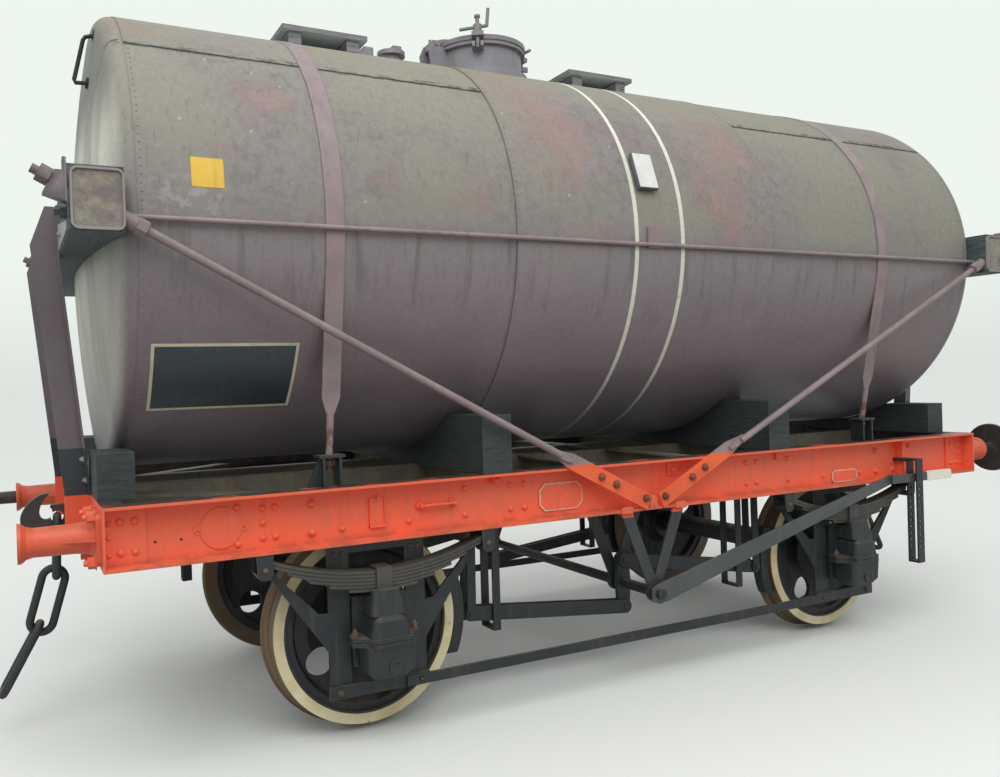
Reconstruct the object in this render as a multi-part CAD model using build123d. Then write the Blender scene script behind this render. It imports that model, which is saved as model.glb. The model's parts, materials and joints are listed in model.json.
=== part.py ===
from build123d import *
from math import acos, atan2, cos, hypot, radians, sin, sqrt
import os

# A four-wheeled railway tank car of the late 1930s pattern, in millimetres.
# X runs along the car, Y across it, Z up. The floor is at the lowest points of the wheel flanges.
# The car looks the same after half a turn about Z, apart from its manhole, walkways and one lost buffer.

# Wheels and axles
WHEELBASE = 3200.0
FLANGE_DROP = 28.0
TREAD_RADIUS = 476.0
FLANGE_RADIUS = TREAD_RADIUS + FLANGE_DROP
AXLE_Z = FLANGE_RADIUS
AXLE_X = WHEELBASE / 2
TYRE_BACK_Y = 680.0
TYRE_WIDTH = 132.0
TYRE_INNER_RADIUS = 412.0
TREAD_Y = TYRE_BACK_Y + 65.0
JOURNAL_RADIUS = 57.0
BEARING_PLAY = 0.05
WHEEL_HOLE_RADIUS = 71.0
WHEEL_HOLE_PITCH_RADIUS = 278.0

# Underframe
HALF_FRAME = 2820.0
FRAME_LOW = 954.0
FRAME_TOP = 1220.0
FLANGE_TIP_Y = 1050.0
WEB_Y = 960.0
WEB = 10.0
FLANGE = 14.0
LONGITUDINAL_Y = 250.0
BEARER_X = 973.0

# Tank
TANK_RADIUS = 1130.0
END_COURSE_RADIUS = 1122.0
TANK_Z = 2420.0
SEAM_X = 2655.0
COURSE_X = 875.0
CROWN_X = 2818.0
MANHOLE_X = -415.0
NECK_RADIUS = 267.0
NECK_TOP = 3728.0

# Tank seats and end restraint
SADDLE_WIDTH = 166.0
SADDLE_HALF = 1040.0
SADDLE_TOP = 1512.0
END_BLOCK_X = 2741.0
END_BLOCK_WIDTH = 158.0
END_BLOCK_HALF = 835.0
END_BLOCK_TOP = 1424.0
SEAT_GAP = 0.5
BAULK_OUTER_X = 2920.0
BAULK_WIDTH = 205.0
BAULK_LOW = 2302.0
BAULK_TOP = 2552.0
BAULK_HALF = 1226.0
CAP_THICKNESS = 14.0
STANCHION_Y = 500.0
SIDE_ROD_RADIUS = 11.5
SIDE_ROD_Y = 1142.5
SIDE_ROD_Z = 2380.0
DIAGONAL_RADIUS = 18.5
DIAGONAL_NUT = 63.0
DIAGONAL_SLOPE = 0.511
DIAGONAL_FOOT_Z = 975.5
DIAGONAL_END_X = BAULK_OUTER_X + 122
SEAT_REACH = 56.0
PALM_X = 625.0
PALM_Y = FLANGE_TIP_Y + 26
DIAGONAL_END_Y = 1206.0
STRAP_X = 1820.0
STRAP_WIDTH = 88.0
STRAP_THICKNESS = 7.0
STRAP_ROD_RADIUS = 17.0
ANCHOR_Y = 948.0
ANCHOR_Z = 1366.0

# Buffers and draw gear
BUFFER_Y = 870.0
BUFFER_Z = 1054.0 + FLANGE_DROP
CASING_LENGTH = 310.0
BUFFER_LENGTH = 500.0
HOOK_Z = 1075.0
EYE_X = 125.0
EYE_Z = HOOK_Z - 11
LINK_BAR = 19.0

# Brake gear
SHAFT_Z = 500.0
SHAFT_RADIUS = 28.0
BRAKE_Y = 760.0
BLOCK_GAP = 8.0
LEVER_Y = 1064.0
LEVER_THICKNESS = 12.0
GUARD_X = 2130.0
LOOP_X = 865.0

PARTS = "parts"
os.makedirs(PARTS, exist_ok=True)


def block(x, y, z):
    """A box from its (low, high) pairs."""
    size = [max(pair) - min(pair) for pair in (x, y, z)]
    middle = [(pair[0] + pair[1]) / 2 for pair in (x, y, z)]
    return Pos(*middle) * Box(*size)


def rod(start, end, radius):
    """A round bar between two points."""
    a, b = Vector(*start), Vector(*end)
    return extrude(Plane(origin=a, z_dir=b - a) * Circle(radius), (b - a).length)


def hexagon(start, end, across_flats):
    """A hexagonal nut or bolt head between two points."""
    a, b = Vector(*start), Vector(*end)
    return extrude(Plane(origin=a, z_dir=b - a) * RegularPolygon(across_flats / sqrt(3), 6), (b - a).length)


def side_plate(points, y_low, y_high):
    """A plate outlined in X and Z, between two places across the car."""
    outline = make_face(Polyline(*points, close=True))
    return extrude(Plane(origin=(0, y_high, 0), x_dir=(1, 0, 0), z_dir=(0, -1, 0)) * outline, y_high - y_low)


def side_face(face, y_low, y_high):
    """Any flat outline in X and Z, between two places across the car."""
    return extrude(Plane(origin=(0, y_high, 0), x_dir=(1, 0, 0), z_dir=(0, -1, 0)) * face, y_high - y_low)


def end_plate(points, x_low, x_high):
    """A plate outlined in Y and Z, between two places along the car."""
    outline = make_face(Polyline(*points, close=True))
    return extrude(Plane(origin=(x_low, 0, 0), x_dir=(0, 1, 0), z_dir=(1, 0, 0)) * outline, x_high - x_low)


def turned(points, axis):
    """A solid of revolution: points are (along the axis, radius)."""
    outline = make_face(Polyline(*points, close=True))
    flat = {"X": Plane.XZ, "Y": Plane(origin=(0, 0, 0), x_dir=(0, 1, 0), z_dir=(1, 0, 0))}[axis]
    return revolve(flat * outline, {"X": Axis.X, "Y": Axis.Y}[axis], 360)


def half_turn(shape):
    """The same piece on the other side and end of the car."""
    return Rot(0, 0, 180) * shape


def across(shape):
    """The same piece mirrored to the other side."""
    return mirror(shape, Plane.XZ)


def endwise(shape):
    """The same piece mirrored to the other end."""
    return mirror(shape, Plane.YZ)


def four(shape):
    """A corner piece at all four corners."""
    return [shape, across(shape), endwise(shape), endwise(across(shape))]


def write(name, *shapes):
    """One node: every solid of the given shapes in one file."""
    solids = [solid for shape in shapes for solid in shape.solids()]
    export_step(Compound(children=solids), os.path.join(PARTS, name + ".step"))


# Tank shell

def end_profile(start_x, grown):
    """A dished end in the half plane: a short flange, a rounded knuckle and a shallow crown."""
    crown_radius, knuckle, rim = 6500.0 + grown, 72.0 + grown, END_COURSE_RADIUS + grown
    crown_x = CROWN_X + grown
    crown_centre = crown_x - crown_radius
    knuckle_x = crown_centre + sqrt((crown_radius - knuckle) ** 2 - (rim - knuckle) ** 2)
    knuckle_r = rim - knuckle
    turn = atan2(knuckle_r, knuckle_x - crown_centre)
    meet = (crown_centre + crown_radius * cos(turn), crown_radius * sin(turn))
    half = (turn + radians(90)) / 2
    outline = Polyline((crown_x, 0), (start_x, 0), (start_x, rim), (knuckle_x, rim))
    bend = ThreePointArc((knuckle_x, rim), (knuckle_x + knuckle * cos(half), knuckle_r + knuckle * sin(half)), meet)
    crown = ThreePointArc(meet, (crown_centre + crown_radius * cos(turn / 2), crown_radius * sin(turn / 2)),
                          (crown_x, 0))
    return make_face(outline + bend + crown)


def dished_end(start_x, grown=0.0):
    return Pos(0, 0, TANK_Z) * revolve(Plane.XZ * end_profile(start_x, grown), Axis.X, 360)


def tank_barrel():
    """Three courses, the middle one lapped outside the others, with a well under the manhole."""
    shell = turned([(-SEAM_X, 0), (-SEAM_X, END_COURSE_RADIUS), (-COURSE_X, END_COURSE_RADIUS),
                    (-COURSE_X, TANK_RADIUS), (COURSE_X, TANK_RADIUS), (COURSE_X, END_COURSE_RADIUS),
                    (SEAM_X, END_COURSE_RADIUS), (SEAM_X, 0)], "X")
    well = Pos(MANHOLE_X, 0, 3400) * Cylinder(NECK_RADIUS - 17, 400)
    return Pos(0, 0, TANK_Z) * shell - well


def neck_on_tank(radius, low, high):
    """An upright cylinder over the manhole with its foot cut to the tank."""
    post = Pos(MANHOLE_X, 0, (low + high) / 2) * Cylinder(radius, high - low)
    return post - Pos(0, 0, TANK_Z) * Rot(0, 90, 0) * Cylinder(TANK_RADIUS, 2 * COURSE_X)


# Lid clamps stand at a third of a turn from each other, the hinge between two of them
CLAMP_ANGLES = (0, 120, 240)
HINGE_X = MANHOLE_X - 330
HINGE_Z = NECK_TOP + 14
LUG_RADIUS = 318.0


def around_manhole(shape, angle):
    return Pos(MANHOLE_X, 0, 0) * Rot(0, 0, angle) * shape


def manhole_neck():
    wall = neck_on_tank(NECK_RADIUS, 3380, NECK_TOP)
    foot = neck_on_tank(NECK_RADIUS + 40, 3380, TANK_Z + TANK_RADIUS + 12)
    rim = Pos(MANHOLE_X, 0, NECK_TOP - 11) * Cylinder(NECK_RADIUS + 22, 22)
    neck = wall + foot + rim
    for angle in CLAMP_ANGLES:
        lug = block((NECK_RADIUS - 5, LUG_RADIUS + 30), (-34, 34), (NECK_TOP - 60, NECK_TOP - 30))
        lug -= block((LUG_RADIUS - 22, LUG_RADIUS + 60), (-17, 17), (NECK_TOP - 90, NECK_TOP))
        neck += around_manhole(lug, angle)
    for y in (-62, 62):
        cheek = side_plate([(HINGE_X - 34, NECK_TOP - 140), (HINGE_X - 52, HINGE_Z - 40), (HINGE_X - 24, HINGE_Z + 20),
                            (HINGE_X + 24, HINGE_Z + 20), (HINGE_X + 24, NECK_TOP),
                            (MANHOLE_X - NECK_RADIUS + 12, NECK_TOP),
                            (MANHOLE_X - NECK_RADIUS + 12, NECK_TOP - 140)], y - 8, y + 8)
        neck += cheek
    neck -= Pos(MANHOLE_X, 0, 3500) * Cylinder(NECK_RADIUS - 17, 800)
    for y in (-62, 62):
        neck -= rod((HINGE_X, y - 20, HINGE_Z), (HINGE_X, y + 20, HINGE_Z), 11.05)
    return neck


def manhole_lid():
    """A dished lid with three clamp lugs, a hinge arm and the hinge pin."""
    disc = Pos(MANHOLE_X, 0, NECK_TOP + 1 + 14) * Cylinder(NECK_RADIUS + 28, 28)
    dome_radius = 900
    cap = Pos(MANHOLE_X, 0, NECK_TOP + 66 - dome_radius) * Sphere(dome_radius)
    cap &= Pos(MANHOLE_X, 0, NECK_TOP + 50) * Cylinder(NECK_RADIUS - 20, 60)
    lid = disc + cap
    for angle in CLAMP_ANGLES:
        ear = block((NECK_RADIUS - 30, LUG_RADIUS + 26), (-36, 36), (NECK_TOP + 5, NECK_TOP + 30))
        ear -= Pos(LUG_RADIUS, 0, NECK_TOP + 15) * Cylinder(12, 60)
        lid += around_manhole(ear, angle)
    arm = side_plate([(HINGE_X - 22, HINGE_Z - 20), (HINGE_X - 22, HINGE_Z + 20), (HINGE_X + 60, HINGE_Z + 44),
                      (MANHOLE_X - 60, NECK_TOP + 80), (MANHOLE_X - 60, NECK_TOP + 20),
                      (MANHOLE_X - NECK_RADIUS - 30, NECK_TOP + 6), (HINGE_X + 22, HINGE_Z - 20)], -46, 46)
    lid += arm
    lid += rod((HINGE_X, -76, HINGE_Z), (HINGE_X, 76, HINGE_Z), 11)
    return lid


def lid_clamps():
    """Swing bolts drawn down on the lid's ears by nuts with a cranked handle."""
    clamps = []
    for angle in CLAMP_ANGLES:
        bolt = Pos(LUG_RADIUS, 0, NECK_TOP + 35) * Cylinder(11.9, 190)
        head = Pos(LUG_RADIUS, 0, NECK_TOP + 124) * Cylinder(18, 14)
        nut = Pos(LUG_RADIUS, 0, NECK_TOP + 52) * Cylinder(26, 44)
        foot = Pos(LUG_RADIUS, 0, NECK_TOP - 52) * Cylinder(12, 16)
        elbow = (LUG_RADIUS, 56, NECK_TOP + 66)
        handle = rod((LUG_RADIUS, -108, NECK_TOP + 50), elbow, 10)
        handle += Pos(*elbow) * Sphere(10)
        handle += rod(elbow, (LUG_RADIUS, 66, NECK_TOP + 168), 10)
        clamps.append(around_manhole(bolt + head + nut + foot + handle, angle))
    return clamps


# Fittings on top of the tank: (name, start x, end x, half width)
WALKWAYS = [("left", -1781, -1295, 300), ("right", 64, 557, 300)]
WALKWAY_Z = 3588.0


def walkway(x_low, x_high, half):
    """A plank platform on two bent straps that stand on the tank."""
    pieces = []
    plank = (2 * half - 20) / 3
    for n in range(3):
        y = -half + n * (plank + 10)
        pieces.append(block((x_low, x_high), (y, y + plank), (WALKWAY_Z, WALKWAY_Z + 28)))
    for x in (x_low + 72, x_high - 82):
        strap = block((x - 36, x + 36), (-half + 16, half - 16), (3440, WALKWAY_Z))
        strap -= block((x - 40, x + 40), (-half + 24, half - 24), (3430, WALKWAY_Z - 8))
        radius = END_COURSE_RADIUS if abs(x) > COURSE_X else TANK_RADIUS
        strap -= Pos(x, 0, TANK_Z) * Rot(0, 90, 0) * Cylinder(radius, 100)
        pieces.append(strap)
    return pieces


def top_valve():
    """A relief valve with a domed and a square chamber on one round flange, and a vent stub beside it."""
    body = Pos(-1020, 0, 3570) * Cylinder(58, 150) + Pos(-1020, 0, 3656) * Cylinder(84, 26)
    body += Pos(-1056, 0, 3644) * Sphere(46)
    body += block((-1018, -962), (-30, 30), (3660, 3707))
    stub = block((-1215, -1150), (-40, 40), (3480, 3676))
    shell = Pos(-1200, 0, TANK_Z) * Rot(0, 90, 0) * Cylinder(END_COURSE_RADIUS, 640)
    return [body - shell, fillet(stub.edges().group_by(Axis.Z)[-1], 14) - shell]


# Seats under the tank

def seat(x, width, half, top):
    timber = block((x - width / 2, x + width / 2), (-half, half), (FRAME_TOP, top))
    radius = END_COURSE_RADIUS + SEAT_GAP
    return timber - Pos(x, 0, TANK_Z) * Rot(0, 90, 0) * Cylinder(radius, 2 * width)


def tank_strap(x):
    """A flat band over the tank. Each foot leaves the shell straight, then narrows to a threaded rod."""
    inner = END_COURSE_RADIUS + SEAT_GAP
    outer = inner + STRAP_THICKNESS
    middle = (inner + outer) / 2
    away = hypot(ANCHOR_Y, TANK_Z - ANCHOR_Z)
    drop = atan2(TANK_Z - ANCHOR_Z, ANCHOR_Y) - acos(middle / away)
    length = sqrt(away ** 2 - middle ** 2)
    half, neck = STRAP_WIDTH / 2, STRAP_ROD_RADIUS - 2
    flat_end, neck_end = length - 265, length - 180

    def foot_point(side, radius, down):
        """A point of the band's foot: out from the tank's middle, then down along the straight."""
        y = radius * cos(drop) - down * sin(drop)
        return (side * y, TANK_Z - radius * sin(drop) - down * cos(drop))

    edges = Line(foot_point(-1, inner, neck_end), foot_point(-1, inner, 0))
    edges += ThreePointArc(foot_point(-1, inner, 0), (0, TANK_Z + inner), foot_point(1, inner, 0))
    edges += Polyline(foot_point(1, inner, 0), foot_point(1, inner, neck_end), foot_point(1, outer, neck_end),
                      foot_point(1, outer, 0))
    edges += ThreePointArc(foot_point(1, outer, 0), (0, TANK_Z + outer), foot_point(-1, outer, 0))
    edges += Polyline(foot_point(-1, outer, 0), foot_point(-1, outer, neck_end), foot_point(-1, inner, neck_end))
    band = extrude(Plane(origin=(x - half, 0, 0), x_dir=(0, 1, 0), z_dir=(1, 0, 0)) * make_face(edges), STRAP_WIDTH)
    taper = make_face(Polyline((half + 5, flat_end - 5), (half, flat_end), (neck, neck_end), (half + 5, neck_end + 5),
                               close=True))
    for side in (-1, 1):
        touch = Vector(x, *foot_point(side, middle, 0))
        down = Vector(0, -side * sin(drop), -cos(drop))
        plane = Plane(origin=touch, x_dir=(1, 0, 0), z_dir=Vector(0, -down.Z, down.Y))
        for outline in (taper, mirror(taper, Plane.YZ)):
            band -= extrude(plane * outline, 20, both=True)
        band += rod(touch + down * (neck_end - 14), touch + down * (length + 74), STRAP_ROD_RADIUS)
        band += hexagon(touch + down * (length + 22), touch + down * (length + 50), 52)
    return band


def strap_anchor():
    """A bracket on the solebar: a top plate on two webs, pierced for the strap's rod."""
    x, y = -STRAP_X, -ANCHOR_Y
    top = block((x - 62, x + 62), (y - 48, y + 48), (ANCHOR_Z - 14, ANCHOR_Z))
    gusset = side_plate([(x - 46, ANCHOR_Z - 14), (x - 106, FRAME_TOP + 12), (x - 106, FRAME_TOP),
                         (x - 46, FRAME_TOP)], y - 6, y + 6)
    bracket = top + gusset
    for web_x in (x - 46, x + 34):
        bracket += block((web_x, web_x + 12), (y - 46, y + 46), (FRAME_TOP, ANCHOR_Z - 14))
    return bracket - Pos(x, y, ANCHOR_Z) * Cylinder(22, 60)


# End restraint

def diagonal_point(x):
    """A point of the front right diagonal rod's centre line."""
    lean = (DIAGONAL_END_Y - PALM_Y) / (DIAGONAL_END_X - PALM_X)
    return Vector(x, -PALM_Y - lean * (x - PALM_X), DIAGONAL_FOOT_Z + DIAGONAL_SLOPE * x)


def end_baulk():
    """The right-hand timber across the tank's end, hollowed to the dished end and bored for the rods."""
    timber = block((BAULK_OUTER_X - BAULK_WIDTH, BAULK_OUTER_X), (-BAULK_HALF, BAULK_HALF), (BAULK_LOW, BAULK_TOP))
    timber -= dished_end(2400, 1.0)
    for side in (-1, 1):
        timber -= rod((2500, side * SIDE_ROD_Y, SIDE_ROD_Z), (3000, side * SIDE_ROD_Y, SIDE_ROD_Z), SIDE_ROD_RADIUS)
    slanting = rod(diagonal_point(2500), diagonal_point(DIAGONAL_END_X), DIAGONAL_RADIUS)
    return timber - slanting - across(slanting)


def baulk_cap():
    """The pressed end cap of a baulk: a plate with a thin raised rim and rounded corners."""
    width, height, corner = BAULK_WIDTH - 8, BAULK_TOP - BAULK_LOW - 12, 30
    x, z = BAULK_OUTER_X - BAULK_WIDTH / 2 - 5, (BAULK_LOW + BAULK_TOP) / 2 - 3
    plane = Plane(origin=(x, -BAULK_HALF, z), x_dir=(1, 0, 0), z_dir=(0, -1, 0))
    plate = extrude(plane * RectangleRounded(width, height, corner), 5)
    rim = RectangleRounded(width, height, corner) - RectangleRounded(width - 18, height - 18, corner - 9)
    return plate + extrude(plane * rim, CAP_THICKNESS)


def stanchion():
    """A pressed channel post raked against the baulk, bolted to the headstock's face."""
    foot, top = HALF_FRAME, BAULK_OUTER_X
    inner = [(foot, 1095), (foot, FRAME_TOP + 10), (top, BAULK_LOW - 20), (top, BAULK_TOP - 24)]
    outer = [(top + 56, BAULK_TOP - 24), (top + 120, 2352), (foot + 112, 1240)]
    web = side_plate(inner + outer, -STANCHION_Y - 6, -STANCHION_Y + 6)
    slope = (top - foot) / (BAULK_LOW - 20 - FRAME_TOP - 10)
    flange = side_plate([(foot, 1095), (foot, FRAME_TOP + 10), (top, BAULK_LOW - 20), (top, BAULK_TOP - 24),
                         (top + 12, BAULK_TOP - 24), (top + 12, BAULK_LOW - 20 - 12 * slope),
                         (foot + 12, FRAME_TOP + 10), (foot + 12, 1103)], -STANCHION_Y - 45, -STANCHION_Y + 45)
    return web + flange


def side_rod():
    """The level tie rod along the tank's side, with its nuts on the baulks and a bracket behind it halfway."""
    y, z = -SIDE_ROD_Y, SIDE_ROD_Z
    outside = BAULK_OUTER_X
    bar = rod((-outside - 46, y, z), (outside + 46, y, z), SIDE_ROD_RADIUS)
    for side in (-1, 1):
        bar += hexagon((side * outside, y, z), (side * (outside + 26), y, z), 42)
    bar += block((-68, 18), (y, y + 10.5), (z - 17, z + 92))
    return bar


def diagonal_rod():
    """The front right slanting rod: nuts both sides of the baulk, and a flat palm on the solebar."""
    bar = rod(diagonal_point(DIAGONAL_END_X), diagonal_point(PALM_X), DIAGONAL_RADIUS)
    out = (diagonal_point(DIAGONAL_END_X) - diagonal_point(PALM_X)).normalized()
    nut = diagonal_point(BAULK_OUTER_X + SEAT_REACH) + out * 2
    bar += hexagon(nut, nut + out * 46, DIAGONAL_NUT)
    nut = diagonal_point(BAULK_OUTER_X - BAULK_WIDTH - 46) - out * 0.2
    bar += hexagon(nut, nut - out * 44, DIAGONAL_NUT)
    down = Vector(-1, 0, -DIAGONAL_SLOPE).normalized()
    wide = Vector(-DIAGONAL_SLOPE, 0, 1).normalized()
    start = Vector(PALM_X, 0, diagonal_point(PALM_X).Z) - down * 20
    corners = [(0, 18), (110, 42), (672, 42), (678, -42), (110, -42), (0, -18)]
    outline = [start + down * a + wide * b for a, b in corners]
    bar += side_plate([(p.X, p.Z) for p in outline], -FLANGE_TIP_Y - 12, -FLANGE_TIP_Y)
    corners = [(-20, -18), (60, -18), (110, -8), (110, 8), (60, 18), (-20, 18)]
    outline = [start + down * a + wide * b for a, b in corners]
    return bar + side_plate([(p.X, p.Z) for p in outline], -PALM_Y, -FLANGE_TIP_Y)


def rod_seats():
    """The seats of a diagonal rod's nuts: a wedge outside the baulk and a slanting sleeve inside it."""
    bar = rod(diagonal_point(2500), diagonal_point(DIAGONAL_END_X), DIAGONAL_RADIUS)
    face, at = BAULK_OUTER_X, diagonal_point(BAULK_OUTER_X + SEAT_REACH)
    up = Vector(-DIAGONAL_SLOPE, 0, 1).normalized()
    top, low = at + up * 34, at - up * 66
    wedge = side_plate([(top.X, top.Z), (low.X, low.Z), (face, low.Z - 30), (face, BAULK_TOP + 24),
                        (face + 14, BAULK_TOP + 24), (face + 14, top.Z)], -BAULK_HALF + 2, -BAULK_HALF + 68)
    face = BAULK_OUTER_X - BAULK_WIDTH
    sleeve = rod(diagonal_point(face - 46), diagonal_point(face + 40), 31)
    sleeve -= block((face, face + 100), (-1300, -1100), (2200, 2600))
    return [wedge - bar, sleeve - bar]


# Underframe

def solebar():
    """A rolled channel with its flanges outward."""
    web = block((-HALF_FRAME + WEB, HALF_FRAME - WEB), (-WEB_Y, -WEB_Y + WEB), (FRAME_LOW, FRAME_TOP))
    for low in (FRAME_LOW, FRAME_TOP - FLANGE):
        web += block((-HALF_FRAME + WEB, HALF_FRAME - WEB), (-FLANGE_TIP_Y, -WEB_Y), (low, low + FLANGE))
    return web


def headstock():
    """The channel across the end, its flanges inward between the solebars."""
    x = -HALF_FRAME
    half = WEB_Y - WEB
    beam = block((x, x + WEB), (-FLANGE_TIP_Y, FLANGE_TIP_Y), (FRAME_LOW, FRAME_TOP))
    for low in (FRAME_LOW, FRAME_TOP - FLANGE):
        beam += block((x + WEB, x + 90), (-half, half), (low, low + FLANGE))
    return beam


def corner_plates():
    """Riveted corner plates on the solebar's web."""
    x = -HALF_FRAME + WEB
    return block((x, x + 170), (-WEB_Y - 9, -WEB_Y), (FRAME_LOW + FLANGE, FRAME_TOP - FLANGE))


def longitudinals():
    """Two channels from headstock to headstock."""
    bars = []
    for side in (-1, 1):
        y = side * LONGITUDINAL_Y
        reach = HALF_FRAME - 90
        bar = block((-reach, reach), (y - 5, y + 5), (FRAME_LOW + 20, FRAME_TOP))
        for low in (FRAME_LOW + 20, FRAME_TOP - 12):
            inner = y - side * 70
            bar += block((-reach, reach), (min(y, inner), max(y, inner)), (low, low + 12))
        bars.append(bar)
    return bars


# Cross members: (place along the car, half width of the section)
CROSS_MEMBERS = [(-BEARER_X, 45), (-330, 40), (330, 40), (BEARER_X, 45)]


def cross_members():
    pieces = []
    for x, half in CROSS_MEMBERS:
        for y_low, y_high in ((-WEB_Y + WEB, -LONGITUDINAL_Y - 5), (LONGITUDINAL_Y + 5, WEB_Y - WEB),
                              (-LONGITUDINAL_Y + 70, LONGITUDINAL_Y - 70)):
            web = block((x - 5, x + 5), (y_low, y_high), (FRAME_LOW + 20, FRAME_TOP))
            for low in (FRAME_LOW + 20, FRAME_TOP - 12):
                web += block((x - half, x + half), (y_low, y_high), (low, low + 12))
            pieces.append(web)
    return pieces


def diagonal_brace():
    """A flat brace from the headstock's middle out to the solebar."""
    start, end = Vector(-2690, -330, 0), Vector(-1900, -880, 0)
    way = (end - start).normalized()
    side = Vector(-way.Y, way.X, 0) * 45
    corners = [start + side, start - side, end - side, end + side]
    outline = make_face(Polyline(*[(c.X, c.Y) for c in corners], close=True))
    return extrude(Plane(origin=(0, 0, FRAME_TOP - 40)) * outline, 14)


# Buffers and draw gear

def buffer_casing():
    """A cast casing: square base, tapering ribs, a plain barrel and a bell mouth, bored for the ram."""
    profile = [(0, 50), (0, 88), (16, 88), (40, 70), (90, 63), (250, 60), (276, 66), (296, 82),
               (CASING_LENGTH, 82), (CASING_LENGTH, 50)]
    barrel = turned([(-HALF_FRAME - d, r) for d, r in profile], "X")
    base = Pos(-HALF_FRAME - 10, 0, 0) * Rot(0, 90, 0) * extrude(RectangleRounded(220, 240, 30), 10, both=True)
    base -= rod((-HALF_FRAME + 40, 0, 0), (-HALF_FRAME - 60, 0, 0), 50)
    casing = barrel + base
    for angle, reach, high in ((0, 60, 84), (90, 150, 104), (180, 60, 84), (270, 150, 104)):
        rib = side_plate([(-HALF_FRAME - 16, 62), (-HALF_FRAME - 16, high), (-HALF_FRAME - reach, 60)], -7, 7)
        casing += Rot(angle, 0, 0) * rib
    return Pos(0, -BUFFER_Y, BUFFER_Z) * casing


def buffer_ram():
    """The ram and its round head."""
    x = -HALF_FRAME
    profile = [(2, 0), (2, 49.5), (CASING_LENGTH - 20, 49.5), (CASING_LENGTH - 20, 36),
               (BUFFER_LENGTH - 36, 36), (BUFFER_LENGTH - 30, 60), (BUFFER_LENGTH - 22, 165),
               (BUFFER_LENGTH - 12, 172), (BUFFER_LENGTH - 6, 168), (BUFFER_LENGTH, 0)]
    return Pos(0, -BUFFER_Y, BUFFER_Z) * turned([(x - d, r) for d, r in profile], "X")


def drawhook():
    """A forged hook on its shank, with a plate on the headstock."""
    x = -HALF_FRAME
    outer = [(0, -38), (-90, -52), (-190, -72), (-250, -70), (-284, -52), (-294, -8), (-281, 30), (-257, 63),
             (-229, 88), (-196, 105), (-162, 109)]
    inner = [(-160, 102), (-185, 78), (-201, 46), (-206, 14), (-196, -14), (-176, -22), (-156, -14), (-146, 12),
             (-157, 38), (-152, 50), (-92, 52), (0, 34)]
    outline = Spline(*outer) + Line(outer[-1], inner[0]) + Spline(*inner[:9]) + Polyline(*inner[8:], outer[0])
    eye = Pos(x - EYE_X, EYE_Z) * Circle(31)
    hook = side_face(Pos(x, HOOK_Z) * make_face(outline) - eye, -22, 22)
    plate = block((x - 16, x), (-110, 110), (HOOK_Z - 80, HOOK_Z + 80))
    return hook + plate


def link(top, bottom, half_width, bar_radius, plane_x):
    """One chain link as a closed loop between two points; plane_x is its width's direction."""
    a, b = Vector(*top), Vector(*bottom)
    down = (b - a).normalized()
    wide = Vector(*plane_x).normalized()
    c1, c2 = a + down * half_width, b - down * half_width
    path = Wire([
        Edge.make_line(c1 + wide * half_width, c2 + wide * half_width),
        Edge.make_three_point_arc(c2 + wide * half_width, b, c2 - wide * half_width),
        Edge.make_line(c2 - wide * half_width, c1 - wide * half_width),
        Edge.make_three_point_arc(c1 - wide * half_width, a, c1 + wide * half_width),
    ])
    start = c1 + wide * half_width
    section = Plane(origin=start, z_dir=down) * Circle(bar_radius)
    return sweep(section, path=path)


# Links of a coupling: (top x out from the headstock, top z, bottom x, bottom z, half width, width's direction)
LINKS = [(EYE_X, EYE_Z + 2, 138, 763, 52, (0, 1, 0)),
         (137, 803, 226, 493, 54, (1, 0, 0.28)),
         (219, 536, 398, 212, 46, (0, 1, 0))]


def coupling():
    """Three links from the hook's eye, stiff enough to stand askew."""
    return [link((-HALF_FRAME - a, 0, b), (-HALF_FRAME - c, 0, d), half, LINK_BAR, wide)
            for a, b, c, d, half, wide in LINKS]


# Running gear

def axle_guard():
    """A plate axle guard (W-iron): two legs either side of the axlebox, with slanting stays."""
    x = -AXLE_X
    y_low, y_high = -WEB_Y + WEB, -WEB_Y + WEB + 16
    guard = side_plate([(x - 247, 262), (x - 247, 1160), (x + 247, 1160), (x + 247, 262), (x + 142, 262),
                        (x + 142, 900), (x - 142, 900), (x - 142, 262)], y_low, y_high)
    for side in (-1, 1):
        stay = [(560, FRAME_LOW + 120), (560, 890), (247, 448), (200, 448), (200, 626), (290, 633), (482, 828),
                (512, 884), (512, FRAME_LOW + 120)]
        stay = [(x + side * a, z) for a, z in stay]
        guard += side_plate(stay, y_low, y_high)
    top = block((x - 560, x + 560), (y_low, y_high), (FRAME_LOW + 10, FRAME_LOW + 130))
    return guard + top


def tie_bar():
    """Keep plates across the feet of the axle guards, and the long flat bar that joins them."""
    y = -WEB_Y + WEB
    bar = block((-AXLE_X + 130, AXLE_X - 130), (y - 28, y - 14), (233, 283))
    for x in (-AXLE_X, AXLE_X):
        bar += block((x - 256, x + 256), (y - 14, y), (230, 290))
        bar += block((x - 247, x - 142), (y, y + 16), (244, 262)) + block((x + 142, x + 247), (y, y + 16), (244, 262))
    return bar


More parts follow.
